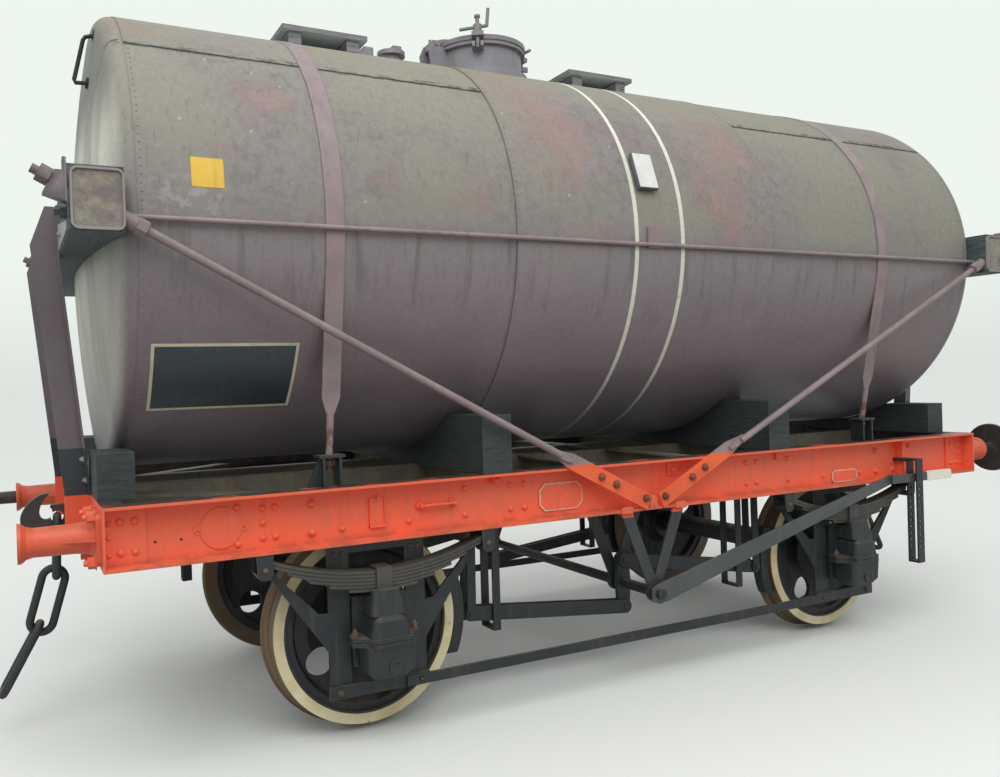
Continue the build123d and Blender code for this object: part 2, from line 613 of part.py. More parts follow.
def axlebox():
    """A cast oil axlebox: guides in the guard, a tapered housing, a flange with bolt ears and a wide sump."""
    x = -AXLE_X
    box = block((x - 138, x + 138), (-975, -905), (372, 700))
    for groove_x in (x - 129.5, x + 129.5):
        box -= block((groove_x - 9.5, groove_x + 9.5), (-952, -932), (371, 701))
    crown = loft([Plane(origin=(x - 6, -1032, 628)) * RectangleRounded(174, 160, 28),
                  Plane(origin=(x - 6, -1024, 738)) * RectangleRounded(138, 128, 24)])
    crown -= block((x - 200, x + 200), (-1047, -900), (704, 750))
    shoulder = loft([Plane(origin=(x - 4, -1040, 524)) * RectangleRounded(198, 182, 30),
                     Plane(origin=(x - 4, -1040, 606)) * RectangleRounded(164, 172, 28),
                     Plane(origin=(x - 4, -1040, 629)) * RectangleRounded(132, 140, 24)], ruled=True)
    sump = loft([Plane(origin=(x, -1048, 492)) * RectangleRounded(242, 160, 22),
                 Plane(origin=(x, -1048, 376)) * RectangleRounded(232, 152, 26),
                 Plane(origin=(x, -1048, 338)) * RectangleRounded(164, 104, 26)], ruled=True)
    right = [(98, -1134), (114, -1084), (142, -1068), (168, -1044), (168, -990), (100, -970)]
    outline = [(x + a, y) for a, y in right] + [(x - a, y) for a, y in reversed(right)]
    plate = make_face(Polyline(*outline, close=True))
    for low, high in ((486, 506), (509, 528)):
        box += extrude(Plane(origin=(0, 0, low)) * plate, high - low)
    box += crown + shoulder + sump + block((x - 90, x + 90), (-1120, -970), (480, 530))
    return box - rod((x, -1090, AXLE_Z), (x, -880, AXLE_Z), JOURNAL_RADIUS + BEARING_PLAY)


# Leaf springs: half lengths of the leaves from the top one down
LEAVES = [570, 520, 440, 355, 265, 175]
LEAF = 16.5
SPRING_RISE = 118.0
SPRING_TOP = 822.0


def leaf_spring():
    """A laminated spring, ends high: leaves shorter one below another, a joint between each two, and a buckle."""
    x, y_low, y_high = -AXLE_X, -1034, -956
    radius = (LEAVES[0] ** 2 + SPRING_RISE ** 2) / (2 * SPRING_RISE)
    centre = Pos(x, SPRING_TOP + radius)
    spring = block((x - 40, x + 40), (y_low - 10, y_high + 6), (706, SPRING_TOP + 14))
    for n, half in enumerate(LEAVES):
        inner, outer = radius + n * LEAF, radius + (n + 1) * LEAF
        window = Pos(x, SPRING_TOP) * Rectangle(2 * half, 400)
        spring += side_face(centre * (Circle(outer - 2) - Circle(inner)) & window, y_low, y_high)
        if n + 1 < len(LEAVES):
            window = Pos(x, SPRING_TOP) * Rectangle(2 * LEAVES[n + 1] - 4, 400)
            spring += side_face(centre * (Circle(outer + 1) - Circle(outer - 3)) & window, y_low + 4, y_high - 4)
    return spring


def spring_shoe():
    """The shoes under the solebar that the spring's ends slide in."""
    shoes = []
    for side in (-1, 1):
        x = -AXLE_X + side * 560
        outline = [(x - 38, FRAME_LOW), (x + 38, FRAME_LOW), (x + 33, 862), (x + 18, 842), (x - 18, 842), (x - 33, 862)]
        slot = block((x - 60, x + 60), (-1036, -954), (870, 945))
        shoes.append(side_plate(outline, -1044, -952) - slot)
    return shoes


def tyre():
    """A steel tyre with its flange, coned tread and bevelled outer edge."""
    back = TYRE_BACK_Y
    face = back + TYRE_WIDTH
    profile = [(back, TYRE_INNER_RADIUS), (back, FLANGE_RADIUS - 14), (back + 10, FLANGE_RADIUS),
               (back + 20, FLANGE_RADIUS - 3), (back + 32, TREAD_RADIUS + 8), (back + 42, TREAD_RADIUS + 1.5),
               (TREAD_Y, TREAD_RADIUS), (face - 6, TREAD_RADIUS - 1.5), (face, TREAD_RADIUS - 4),
               (face, TYRE_INNER_RADIUS)]
    return turned(profile, "Y")


def wheel_centre(turn):
    """A dished disc with a rim, a hub and two round holes, turned to one of its places."""
    back, face = TYRE_BACK_Y + 14, TYRE_BACK_Y + TYRE_WIDTH - 14
    profile = [(back - 30, 80), (back - 30, 132), (back + 10, 150), (back + 40, 185), (back + 58, 300),
               (back + 44, 356), (back, 372), (back, TYRE_INNER_RADIUS), (face, TYRE_INNER_RADIUS),
               (face, 376), (back + 72, 360), (back + 84, 300), (back + 70, 185), (face + 10, 140),
               (face + 30, 118), (face + 30, 80)]
    disc = turned(profile, "Y")
    for angle in (turn, turn + 180):
        hole_x = WHEEL_HOLE_PITCH_RADIUS * cos(radians(angle))
        hole_z = WHEEL_HOLE_PITCH_RADIUS * sin(radians(angle))
        disc -= rod((hole_x, back - 40, hole_z), (hole_x, face + 40, hole_z), WHEEL_HOLE_RADIUS)
    return disc


def axle():
    """Half-car-wide axle: waist, wheel seats and journals with collars."""
    seat_in, seat_out = TYRE_BACK_Y - 16, TYRE_BACK_Y + TYRE_WIDTH + 16
    half = [(0, 70), (seat_in - 60, 74), (seat_in, 80), (seat_out, 80), (seat_out, 74), (890, 74),
            (890, JOURNAL_RADIUS), (1086, JOURNAL_RADIUS)]
    profile = [(-1086, 0)] + [(-y, r) for y, r in reversed(half)] + half[1:] + [(1086, 0)]
    return turned(profile, "Y")


# Brake gear

def v_hanger(y_low, y_high, top):
    """A V-shaped hanger with the shaft's boss at its point."""
    outer = [(-218, top), (-144, top), (0, 590), (144, top), (218, top), (34, 500), (-34, 500)]
    plate = side_plate(outer, y_low, y_high)
    plate += rod((0, y_low - 8, SHAFT_Z), (0, y_high + 8, SHAFT_Z), 52)
    for x in (-182, 182):
        plate += block((x - 45, x + 45), (y_low, y_high + 40), (top - 10, top))
    return plate - rod((0, y_low - 20, SHAFT_Z), (0, y_high + 20, SHAFT_Z), SHAFT_RADIUS)


def brake_carrier():
    """The angle under the cross members that carries the inner hangers and the block hangers."""
    y = -BRAKE_Y
    bar = block((-1150, 1150), (y - 45, y + 45), (FRAME_LOW, FRAME_LOW + 12))
    return bar + block((-1150, 1150), (y + 33, y + 45), (FRAME_LOW, FRAME_LOW + 20))


# Ends of the push rods: (tumbler pin height, end of the car)
PUSH_PINS = [(SHAFT_Z - 135, -1), (SHAFT_Z + 130, 1)]
BLOCK_PIN_Z = 470.0
BLOCK_PIN_X = 1014.0
PIN_RADIUS = 15.0


def cross_shaft():
    """The brake shaft across the car with a tumbler arm behind each inner hanger."""
    shaft = rod((0, -1100, SHAFT_Z), (0, 1100, SHAFT_Z), SHAFT_RADIUS - 0.05)
    for side in (-1, 1):
        y = side * BRAKE_Y
        arm = side_plate([(-34, SHAFT_Z - 165), (34, SHAFT_Z - 165), (48, SHAFT_Z), (34, SHAFT_Z + 160),
                          (-34, SHAFT_Z + 160), (-48, SHAFT_Z)], y - 14, y + 14)
        shaft += arm
        for pin_z, end in PUSH_PINS:
            shaft += rod((0, y - 32, pin_z), (0, y + 32, pin_z), PIN_RADIUS)
    return shaft


def push_rods():
    """Deep flat bars from the tumbler to the brake blocks, forked over the tumbler."""
    bars = []
    for pin_z, end in PUSH_PINS:
        far_x = end * BLOCK_PIN_X
        for y_low, y_high in ((-BRAKE_Y - 28, -BRAKE_Y - 16), (-BRAKE_Y + 16, -BRAKE_Y + 28)):
            corners = [(0, pin_z - 38), (0, pin_z + 38), (far_x, BLOCK_PIN_Z + 38), (far_x, BLOCK_PIN_Z - 38)]
            bar = side_plate(corners, y_low, y_high)
            for x, z in ((0, pin_z), (far_x, BLOCK_PIN_Z)):
                bar += rod((x, y_low, z), (x, y_high, z), 38)
                bar -= rod((x, y_low - 5, z), (x, y_high + 5, z), PIN_RADIUS)
            bars.append(bar)
    return bars


def brake_block():
    """A cast block hollowed to the tread, on its hanger."""
    x = -AXLE_X
    face = TREAD_RADIUS + BLOCK_GAP
    ring = Pos(x, AXLE_Z) * (Circle(face + 58) - Circle(face))
    window = Pos(x + 510, 497) * Rectangle(260, 415)
    lug = side_plate([(-BLOCK_PIN_X - 60, BLOCK_PIN_Z - 32), (-BLOCK_PIN_X - 60, BLOCK_PIN_Z + 32),
                      (-BLOCK_PIN_X, BLOCK_PIN_Z + 32), (-BLOCK_PIN_X + 28, BLOCK_PIN_Z),
                      (-BLOCK_PIN_X, BLOCK_PIN_Z - 32)], -BRAKE_Y - 13, -BRAKE_Y + 13)
    pin = rod((-BLOCK_PIN_X, -BRAKE_Y - 48, BLOCK_PIN_Z), (-BLOCK_PIN_X, -BRAKE_Y + 48, BLOCK_PIN_Z), PIN_RADIUS)
    return side_face(ring & window, -BRAKE_Y - 34, -BRAKE_Y + 34) + lug + pin


def block_hanger():
    """Two flat links that hang a block's pin from the carrier."""
    x = -BLOCK_PIN_X
    bars = []
    for y in (-BRAKE_Y - 36, -BRAKE_Y + 36):
        bar = side_plate([(x - 25, BLOCK_PIN_Z), (x + 25, BLOCK_PIN_Z), (x + 32, FRAME_LOW), (x - 18, FRAME_LOW)],
                         y - 5, y + 5)
        bar += rod((x, y - 5, BLOCK_PIN_Z), (x, y + 5, BLOCK_PIN_Z), 30)
        bars.append(bar - rod((x, y - 10, BLOCK_PIN_Z), (x, y + 10, BLOCK_PIN_Z), PIN_RADIUS))
    return bars


def safety_loop():
    """A strap loop round the push rod, so that it can't drop on the track."""
    x = -LOOP_X
    outer = end_plate([(-805, 366), (-805, FRAME_LOW), (-675, FRAME_LOW), (-675, 366)], x - 22, x + 22)
    return outer - end_plate([(-795, 376), (-795, FRAME_LOW + 5), (-685, FRAME_LOW + 5), (-685, 376)], x - 30, x + 30)


def brake_lever():
    """A long flat lever, deep at the shaft, joggled out past the guard to its flat handle."""
    y_low, y_high = -LEVER_Y - LEVER_THICKNESS, -LEVER_Y
    shift = 24
    blade = side_plate([(-50, SHAFT_Z - 40), (-50, SHAFT_Z + 30), (0, SHAFT_Z + 52), (1880, 992), (1930, 1000),
                        (1930, 942), (1890, 934), (60, SHAFT_Z - 46), (0, SHAFT_Z - 56)], y_low, y_high)
    blade += block((1900, 1930), (y_low - shift, y_high), (944, 998))
    blade += block((1900, 2250), (y_low - shift, y_high - shift), (944, 998))
    handle = Plane(origin=(2362, y_low - shift - 3, 971), x_dir=(1, 0, 0), z_dir=(0, 1, 0)) * RectangleRounded(244, 62, 20)
    blade += extrude(handle, LEVER_THICKNESS + 6)
    return blade - rod((0, y_low - 20, SHAFT_Z), (0, y_high + 20, SHAFT_Z), SHAFT_RADIUS)


def lever_guard():
    """The pin rack: an inner and an outer upright joined at top and bottom, the lever between them."""
    low, high = 420, 1092
    loop = end_plate([(-1124, low), (-1124, high), (-1052, high), (-1052, low)], GUARD_X - 30, GUARD_X + 30)
    loop -= end_plate([(-1114, low + 12), (-1114, high - 12), (-1062, high - 12), (-1062, low + 12)],
                      GUARD_X - 40, GUARD_X + 40)
    for n in range(10):
        z = 520 + n * 42
        loop -= rod((GUARD_X, -1130, z), (GUARD_X, -1045, z), 9)
    foot = block((GUARD_X - 30, GUARD_X + 30), (-1052, -WEB_Y), (1070, 1092))
    return loop + foot


# Everything is written here, one node a line or a loop

right_end = dished_end(SEAM_X)
write("tank_barrel", tank_barrel())
write("tank_end_right", right_end)
write("tank_end_left", endwise(right_end))
write("manhole_neck", manhole_neck())
write("manhole_lid", manhole_lid())
write("lid_clamps", *lid_clamps())
for name, x_low, x_high, half in WALKWAYS:
    write("walkway_" + name, *walkway(x_low, x_high, half))
write("relief_valve", *top_valve())
write("saddles", *[seat(x, SADDLE_WIDTH, SADDLE_HALF, SADDLE_TOP) for x in (-BEARER_X, BEARER_X)])
write("end_blocks", *[seat(x, END_BLOCK_WIDTH, END_BLOCK_HALF, END_BLOCK_TOP) for x in (-END_BLOCK_X, END_BLOCK_X)])
write("tank_strap_left", tank_strap(-STRAP_X))
write("tank_strap_right", tank_strap(STRAP_X))
write("strap_anchors", *four(strap_anchor()))
write("end_baulk_right", end_baulk())
write("end_baulk_left", endwise(end_baulk()))
write("baulk_caps", *four(baulk_cap()))
write("end_stanchions", *four(stanchion()))
write("side_rods", side_rod(), across(side_rod()))
write("diagonal_rods", *four(diagonal_rod()))
write("rod_seats", *[seat for piece in rod_seats() for seat in four(piece)])
write("solebar_front", solebar())
write("solebar_back", across(solebar()))
write("headstock_left", headstock())
write("headstock_right", endwise(headstock()))
write("corner_plates", *four(corner_plates()))
write("longitudinals", *longitudinals())
write("cross_members", *cross_members())
write("diagonal_braces", *four(diagonal_brace()))
write("buffer_casing_empty", buffer_casing())
write("buffer_casings", *four(buffer_casing())[1:])
write("buffer_rams", *four(buffer_ram())[1:])
write("drawhook_left", drawhook())
write("drawhook_right", half_turn(drawhook()))
write("coupling_left", *coupling())
write("coupling_right", *[half_turn(piece) for piece in coupling()])
write("axle_guards", *four(axle_guard()))
write("tie_bars", tie_bar(), across(tie_bar()))
write("axleboxes", *four(axlebox()))
write("leaf_springs", *four(leaf_spring()))
write("spring_shoes", *[piece for shoe in spring_shoe() for piece in four(shoe)])
for number, x, back_turn, front_turn in ((1, -AXLE_X, 47, 32), (2, AXLE_X, 20, 55)):
    place = Pos(x, 0, AXLE_Z)
    write("axle_%d" % number, place * axle())
    write("tyres_%d" % number, place * tyre(), place * across(tyre()))
    write("wheel_centres_%d" % number, place * wheel_centre(back_turn), place * across(wheel_centre(front_turn)))
outer_hanger = v_hanger(-1040, -1028, FRAME_LOW)
inner_hanger = v_hanger(-706, -694, FRAME_LOW)
write("v_hangers", outer_hanger, inner_hanger, half_turn(outer_hanger), half_turn(inner_hanger))
write("brake_carriers", brake_carrier(), across(brake_carrier()))
write("cross_shaft", cross_shaft())
write("push_rods", *push_rods(), *[half_turn(bar) for bar in push_rods()])
write("brake_blocks", *four(brake_block()))
write("block_hangers", *[piece for bar in block_hanger() for piece in four(bar)])
write("safety_loops", *four(safety_loop()))
write("brake_lever_front", brake_lever())
write("brake_lever_back", half_turn(brake_lever()))
write("lever_guards", lever_guard(), half_turn(lever_guard()))
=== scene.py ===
import json
import math

import bmesh
import bpy
from mathutils import Matrix, Vector


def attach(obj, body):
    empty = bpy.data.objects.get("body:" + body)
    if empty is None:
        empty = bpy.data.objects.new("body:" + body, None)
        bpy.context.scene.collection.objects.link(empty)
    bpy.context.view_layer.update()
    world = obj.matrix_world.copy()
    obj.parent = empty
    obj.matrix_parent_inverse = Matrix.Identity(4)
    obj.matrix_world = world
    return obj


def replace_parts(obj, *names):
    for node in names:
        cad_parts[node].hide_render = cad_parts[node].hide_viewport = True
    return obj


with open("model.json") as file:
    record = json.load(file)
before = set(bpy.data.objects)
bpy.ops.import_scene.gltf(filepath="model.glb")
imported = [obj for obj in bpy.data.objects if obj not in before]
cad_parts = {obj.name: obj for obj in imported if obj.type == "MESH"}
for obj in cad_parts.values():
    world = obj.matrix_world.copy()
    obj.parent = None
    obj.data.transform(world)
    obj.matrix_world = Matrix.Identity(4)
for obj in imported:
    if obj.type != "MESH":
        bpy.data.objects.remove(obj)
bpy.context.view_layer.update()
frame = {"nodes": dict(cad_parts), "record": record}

# The tank car's main places, in metres, as in the CAD
TANK_Z = 2.420
TANK_R = 1.130
END_R = 1.122
AXLE_X = 1.6
AXLE_Z = 0.504
HALF_FRAME = 2.820
WEB_FACE = 0.960
SEAM_X = 2.655
COURSE_X = 0.875
TOP_PLATE_ANGLE = math.radians(46.3)
HOOPS = (-0.134, 0.182)
POST_Y = 0.500
POST_FOOT_Z = 1.230
POST_TOP_X, POST_TOP_Z = 2.920, 2.282
CORNER_PLATE = 0.009
BUFFER_Y, BUFFER_Z = 0.870, 1.082
GUARD_Y = 0.964


# Camera, at the photograph's place

def make_camera():
    data = bpy.data.cameras.new("camera")
    data.sensor_width = 36
    data.lens = 30.545
    data.shift_x = 0.07585
    data.shift_y = -0.00274
    camera = bpy.data.objects.new("camera", data)
    yaw, pitch, roll = 0.4496, -0.0062, -0.0301
    ahead = Vector((math.sin(yaw) * math.cos(pitch), math.cos(yaw) * math.cos(pitch), math.sin(pitch)))
    level = Vector((math.cos(yaw), -math.sin(yaw), 0))
    up = level.cross(ahead)
    right = level * math.cos(roll) + up * math.sin(roll)
    upward = -level * math.sin(roll) + up * math.cos(roll)
    turn = Matrix((right, upward, -ahead)).transposed().to_4x4()
    camera.matrix_world = Matrix.Translation((-3.1194, -4.6736, 1.6939)) @ turn
    bpy.context.scene.collection.objects.link(camera)
    bpy.context.scene.camera = camera


# Materials are built from short calls on one node tree at a time

# The Mix node's colour sockets: two inputs and the result
MIX_A, MIX_B, MIX_OUT = 6, 7, 2


def colour_mix(nodes):
    node = nodes.new("ShaderNodeMix")
    node.data_type = "RGBA"
    return node


class Paint:
    """One material. Its methods add nodes and return their outputs."""

    def __init__(self, name, edge_radius=0.004):
        self.edge_radius = edge_radius
        self.material = bpy.data.materials.new(name)
        self.material.use_nodes = True
        self.nodes = self.material.node_tree.nodes
        self.links = self.material.node_tree.links
        self.shader = self.nodes["Principled BSDF"]
        self.place = self.nodes.new("ShaderNodeTexCoord").outputs["Object"]
        split = self.nodes.new("ShaderNodeSeparateXYZ")
        self.links.new(self.place, split.inputs[0])
        self.x, self.y, self.z = split.outputs
        self.bevel = None

    def feed(self, socket, value):
        if isinstance(value, bpy.types.NodeSocket):
            self.links.new(value, socket)
        elif isinstance(value, tuple) and len(value) == 3 and len(socket.default_value) == 4:
            socket.default_value = (*value, 1)
        else:
            socket.default_value = value

    def math(self, kind, a, b=0.0, clamp=False):
        node = self.nodes.new("ShaderNodeMath")
        node.operation = kind
        node.use_clamp = clamp
        self.feed(node.inputs[0], a)
        self.feed(node.inputs[1], b)
        return node.outputs[0]

    def add(self, a, b):
        return self.math("ADD", a, b)

    def times(self, a, b):
        return self.math("MULTIPLY", a, b)

    def size(self, a):
        return self.math("ABSOLUTE", a)

    def low(self, a, b):
        return self.math("MINIMUM", a, b)

    def high(self, a, b):
        return self.math("MAXIMUM", a, b)

    def step(self, value, start, end):
        """0 at start, 1 at end, either way round."""
        node = self.nodes.new("ShaderNodeMapRange")
        node.interpolation_type = "SMOOTHSTEP"
        flip = start > end
        self.feed(node.inputs["Value"], value)
        node.inputs["From Min"].default_value = min(start, end)
        node.inputs["From Max"].default_value = max(start, end)
        node.inputs["To Min"].default_value = 1.0 if flip else 0.0
        node.inputs["To Max"].default_value = 0.0 if flip else 1.0
        return node.outputs["Result"]

    def between(self, value, start, end, soft=0.002):
        """1 from start to end and 0 outside."""
        return self.times(self.step(value, start - soft, start + soft), self.step(value, end + soft, end - soft))

    def stretched(self, scale, offset=(0, 0, 0)):
        node = self.nodes.new("ShaderNodeMapping")
        self.feed(node.inputs["Vector"], self.place)
        node.inputs["Scale"].default_value = scale
        node.inputs["Location"].default_value = offset
        return node.outputs[0]

    def noise(self, scale, detail=5.0, rough=0.55, stretch=(1, 1, 1), offset=(0, 0, 0), bend=0.0):
        node = self.nodes.new("ShaderNodeTexNoise")
        self.feed(node.inputs["Vector"], self.stretched(stretch, offset))
        node.inputs["Scale"].default_value = scale
        node.inputs["Detail"].default_value = detail
        node.inputs["Roughness"].default_value = rough
        node.inputs["Distortion"].default_value = bend
        return node.outputs["Fac"]

    def cells(self, scale):
        node = self.nodes.new("ShaderNodeTexVoronoi")
        self.links.new(self.place, node.inputs["Vector"])
        node.inputs["Scale"].default_value = scale
        return node.outputs["Distance"]

    def mix(self, amount, a, b):
        node = colour_mix(self.nodes)
        self.feed(node.inputs["Factor"], amount)
        self.feed(node.inputs[MIX_A], a)
        self.feed(node.inputs[MIX_B], b)
        return node.outputs[MIX_OUT]

    def shade(self, colour, amount):
        """A colour made lighter or darker by a value round 1."""
        node = colour_mix(self.nodes)
        node.blend_type = "MULTIPLY"
        node.inputs["Factor"].default_value = 1
        self.feed(node.inputs[MIX_A], colour)
        self.feed(node.inputs[MIX_B], amount)
        return node.outputs[MIX_OUT]

    def span(self, value, low, high):
        """A 0 to 1 value carried to low to high."""
        return self.add(self.times(value, high - low), low)

    def rounded(self):
        """The normal with its edges rounded, from one node for each material, because it is slow."""
        if self.bevel is None:
            self.bevel = self.nodes.new("ShaderNodeBevel")
            self.bevel.samples = 2
            self.bevel.inputs["Radius"].default_value = self.edge_radius
        return self.bevel.outputs[0]

    def edges(self, strength=18.0):
        """1 along sharp edges, from how far the rounded normal leaves the flat one."""
        flat = self.nodes.new("ShaderNodeNewGeometry")
        dot = self.nodes.new("ShaderNodeVectorMath")
        dot.operation = "DOT_PRODUCT"
        self.links.new(self.rounded(), dot.inputs[0])
        self.links.new(flat.outputs["Normal"], dot.inputs[1])
        return self.math("MULTIPLY", self.math("SUBTRACT", 1.0, dot.outputs["Value"]), strength, clamp=True)

    def facing(self, axis):
        """How far the surface faces along one axis (0, 1 or 2), from -1 to 1."""
        flat = self.nodes.new("ShaderNodeNewGeometry")
        split = self.nodes.new("ShaderNodeSeparateXYZ")
        self.links.new(flat.outputs["Normal"], split.inputs[0])
        return split.outputs[axis]

    def up(self):
        """1 where the surface faces the sky."""
        return self.facing(2)

    def finish(self, colour, rough, height, depth=0.0015, soft_edge=True):
        """Sets colour, roughness and bump, over rounded edges unless soft_edge is off."""
        self.feed(self.shader.inputs["Base Color"], colour)
        self.feed(self.shader.inputs["Roughness"], rough)
        bump = self.nodes.new("ShaderNodeBump")
        bump.inputs["Distance"].default_value = depth
        bump.inputs["Strength"].default_value = 1.0
        self.feed(bump.inputs["Height"], height)
        if soft_edge:
            self.links.new(self.rounded(), bump.inputs["Normal"])
        self.links.new(bump.outputs[0], self.shader.inputs["Normal"])
        return self.material


def srgb(r, g, b):
    """A colour written as 0 to 255 screen values."""
    def straight(v):
        v /= 255
        return v / 12.92 if v <= 0.04045 else ((v + 0.055) / 1.055) ** 2.4
    return (straight(r), straight(g), straight(b))


def tank_paint():
    """Maroon paint, clean below the side rod, weathered grey and olive above it, with drips and two pale hoops."""
    p = Paint("tank_paint")
    broad = p.noise(0.8, 4, 0.6)
    patch = p.noise(2.2, 6, 0.65, offset=(3, 0, 0))
    fine = p.noise(38, 6, 0.7)
    streak = p.noise(9, 5, 0.6, stretch=(1.6, 1, 0.12))
    thin_streak = p.noise(34, 4, 0.6, stretch=(1.4, 1, 0.06), offset=(7, 2, 0))
    maroon = p.mix(p.step(broad, 0.3, 0.7), srgb(122, 110, 115), srgb(138, 124, 127))
    maroon = p.mix(p.times(p.step(p.z, 1.85, 2.36), 0.7), maroon, srgb(140, 135, 136))
    maroon = p.mix(p.times(p.step(thin_streak, 0.52, 0.8), 0.4), maroon, srgb(100, 92, 96))
    grey = p.mix(p.step(patch, 0.42, 0.68), srgb(139, 136, 131), srgb(136, 125, 124))
    speckle = p.step(p.noise(15, 6, 0.75, offset=(3, 5, 1)), 0.46, 0.62)
    grey = p.mix(p.times(speckle, 0.45), grey, srgb(108, 108, 104))
    # where the maroon shows through the weathering, most on both sides of the hoops
    shift = p.times(p.add(p.noise(1.7, 5, 0.7, offset=(8, 2, 5)), -0.5), 0.5)
    along = p.add(p.x, shift)
    bare = p.high(p.between(along, -0.84, -0.34, 0.10), p.between(along, 0.34, 0.82, 0.12))
    red_patch = p.times(bare, p.step(patch, 0.34, 0.58))
    red_patch = p.high(red_patch, p.times(p.step(patch, 0.52, 0.64), p.step(broad, 0.45, 0.58)))
    red = p.mix(p.step(p.noise(5, 4, 0.6, offset=(1, 7, 2)), 0.5, 0.72), srgb(154, 128, 124), srgb(170, 136, 122))
    grey = p.mix(p.times(red_patch, 0.72), grey, red)
    olive = p.mix(p.step(p.noise(1.5, 5, 0.6, offset=(0, 4, 9)), 0.4, 0.62), grey, srgb(142, 140, 128))
    edge = p.add(p.z, p.times(p.add(streak, -0.5), 0.28))
    weather = p.step(edge, 2.30, 2.52)
    colour = p.mix(weather, maroon, olive)
    crown = p.step(p.add(p.z, p.times(p.add(patch, -0.5), 0.5)), 3.10, 3.50)
    colour = p.mix(p.times(crown, 0.7), colour, srgb(138, 132, 116))
    drips = p.times(p.step(streak, 0.52, 0.72), p.times(p.step(p.z, 1.75, 2.36), p.step(p.z, 2.46, 2.34)))
    colour = p.mix(p.times(drips, 0.5), colour, srgb(72, 66, 70))
    run = p.times(p.step(thin_streak, 0.56, 0.72), p.step(p.z, 2.4, 2.7))
    colour = p.mix(p.times(run, 0.4), colour, srgb(96, 94, 90))
    # pale specks and lichen on the weathered part
    spots = p.times(p.step(p.cells(11), 0.10, 0.03), p.step(p.noise(5, 2, 0.5, offset=(1, 1, 1)), 0.52, 0.62))
    small = p.times(p.step(p.cells(34), 0.12, 0.05), p.step(p.noise(7, 2, 0.5, offset=(6, 1, 3)), 0.50, 0.66))
    colour = p.mix(p.times(p.high(spots, small), p.times(weather, 0.7)), colour, srgb(196, 194, 186))
    # dark, corroded lines where the plates lap
    angle = p.math("ARCTAN2", p.size(p.y), p.add(p.z, -TANK_Z))
    reach = p.add(p.times(p.noise(16, 5, 0.7, offset=(2, 8, 4)), 0.05), -0.022)
    below = p.math("SUBTRACT", angle, p.add(reach, TOP_PLATE_ANGLE))
    lap = p.times(p.step(p.size(below), 0.011, 0.004), p.step(p.size(p.x), COURSE_X, COURSE_X + 0.004))
    lap = p.times(lap, p.step(p.size(p.x), SEAM_X, SEAM_X - 0.004))
    rough_lap = p.times(p.between(angle, TOP_PLATE_ANGLE - 0.028, TOP_PLATE_ANGLE + 0.006), p.step(
        p.noise(26, 5, 0.75, stretch=(0.6, 1, 1)), 0.50, 0.58))
    rough_lap = p.times(rough_lap, p.times(p.step(p.size(p.x), COURSE_X, COURSE_X + 0.02), p.step(patch, 0.40, 0.55)))
    ring = p.low(p.size(p.add(p.size(p.x), -SEAM_X)), p.size(p.add(p.size(p.x), -COURSE_X)))
    ring = p.times(p.step(ring, 0.008, 0.003), p.step(fine, 0.36, 0.52))
    seams = p.high(p.times(p.high(lap, rough_lap), 0.75), p.times(ring, 0.22))
    colour = p.mix(seams, colour, srgb(72, 68, 64))
    # pale chalking beside the strap nut and the first strap
    chalk = p.times(p.between(p.x, -2.62, -2.30, 0.05), p.between(p.z, 2.405, 2.56, 0.04))
    chalk = p.times(chalk, p.step(p.noise(18, 5, 0.7, offset=(2, 2, 2)), 0.46, 0.60))
    colour = p.mix(p.times(chalk, 0.55), colour, srgb(176, 164, 166))
    # the two pale hoops
    for x in HOOPS:
        hoop = p.between(p.x, x - 0.013, x + 0.013, 0.0012)
        worn = p.step(p.noise(30, 5, 0.7), 0.28, 0.40)
        colour = p.mix(p.times(hoop, worn), colour, srgb(226, 228, 212))
    # the dished ends have weathered paler, in upright streaks, and are also painted lighter below their tops as painted
    # light falling on them, the top kept darker
    dish = p.step(p.size(p.x), SEAM_X + 0.03, SEAM_X + 0.10)
    run = p.noise(3.4, 4, 0.5, stretch=(1, 1.5, 0.16), offset=(4, 4, 0))
    pale = p.mix(p.step(run, 0.34, 0.66), srgb(188, 193, 184), srgb(240, 242, 222))
    pale = p.mix(p.step(p.z, 2.7, 3.1), pale, srgb(132, 133, 128))
    colour = p.mix(p.times(dish, p.span(run, 0.72, 0.97)), colour, pale)
    rim = p.times(p.step(p.size(p.x), 2.84, 2.72), dish)
    colour = p.mix(p.times(rim, p.times(p.step(p.z, 2.7, 2.3), 0.6)), colour, srgb(104, 98, 100))
    # painted shade under the belly: darker and bluer towards the bottom
    darker_towards_bottom = p.step(p.add(p.z, p.times(p.add(broad, -0.5), 0.4)), 1.75, 1.30)
    colour = p.mix(p.times(darker_towards_bottom, 0.7), colour, srgb(86, 92, 104))
    colour = p.shade(colour, p.span(fine, 0.74, 1.26))
    rough = p.add(p.times(weather, 0.22), p.span(fine, 0.36, 0.52))
    height = p.add(p.add(p.times(fine, 0.3), p.times(patch, 0.9)), p.times(rough_lap, -0.6))
    return p.finish(colour, rough, height, 0.005, soft_edge=False)


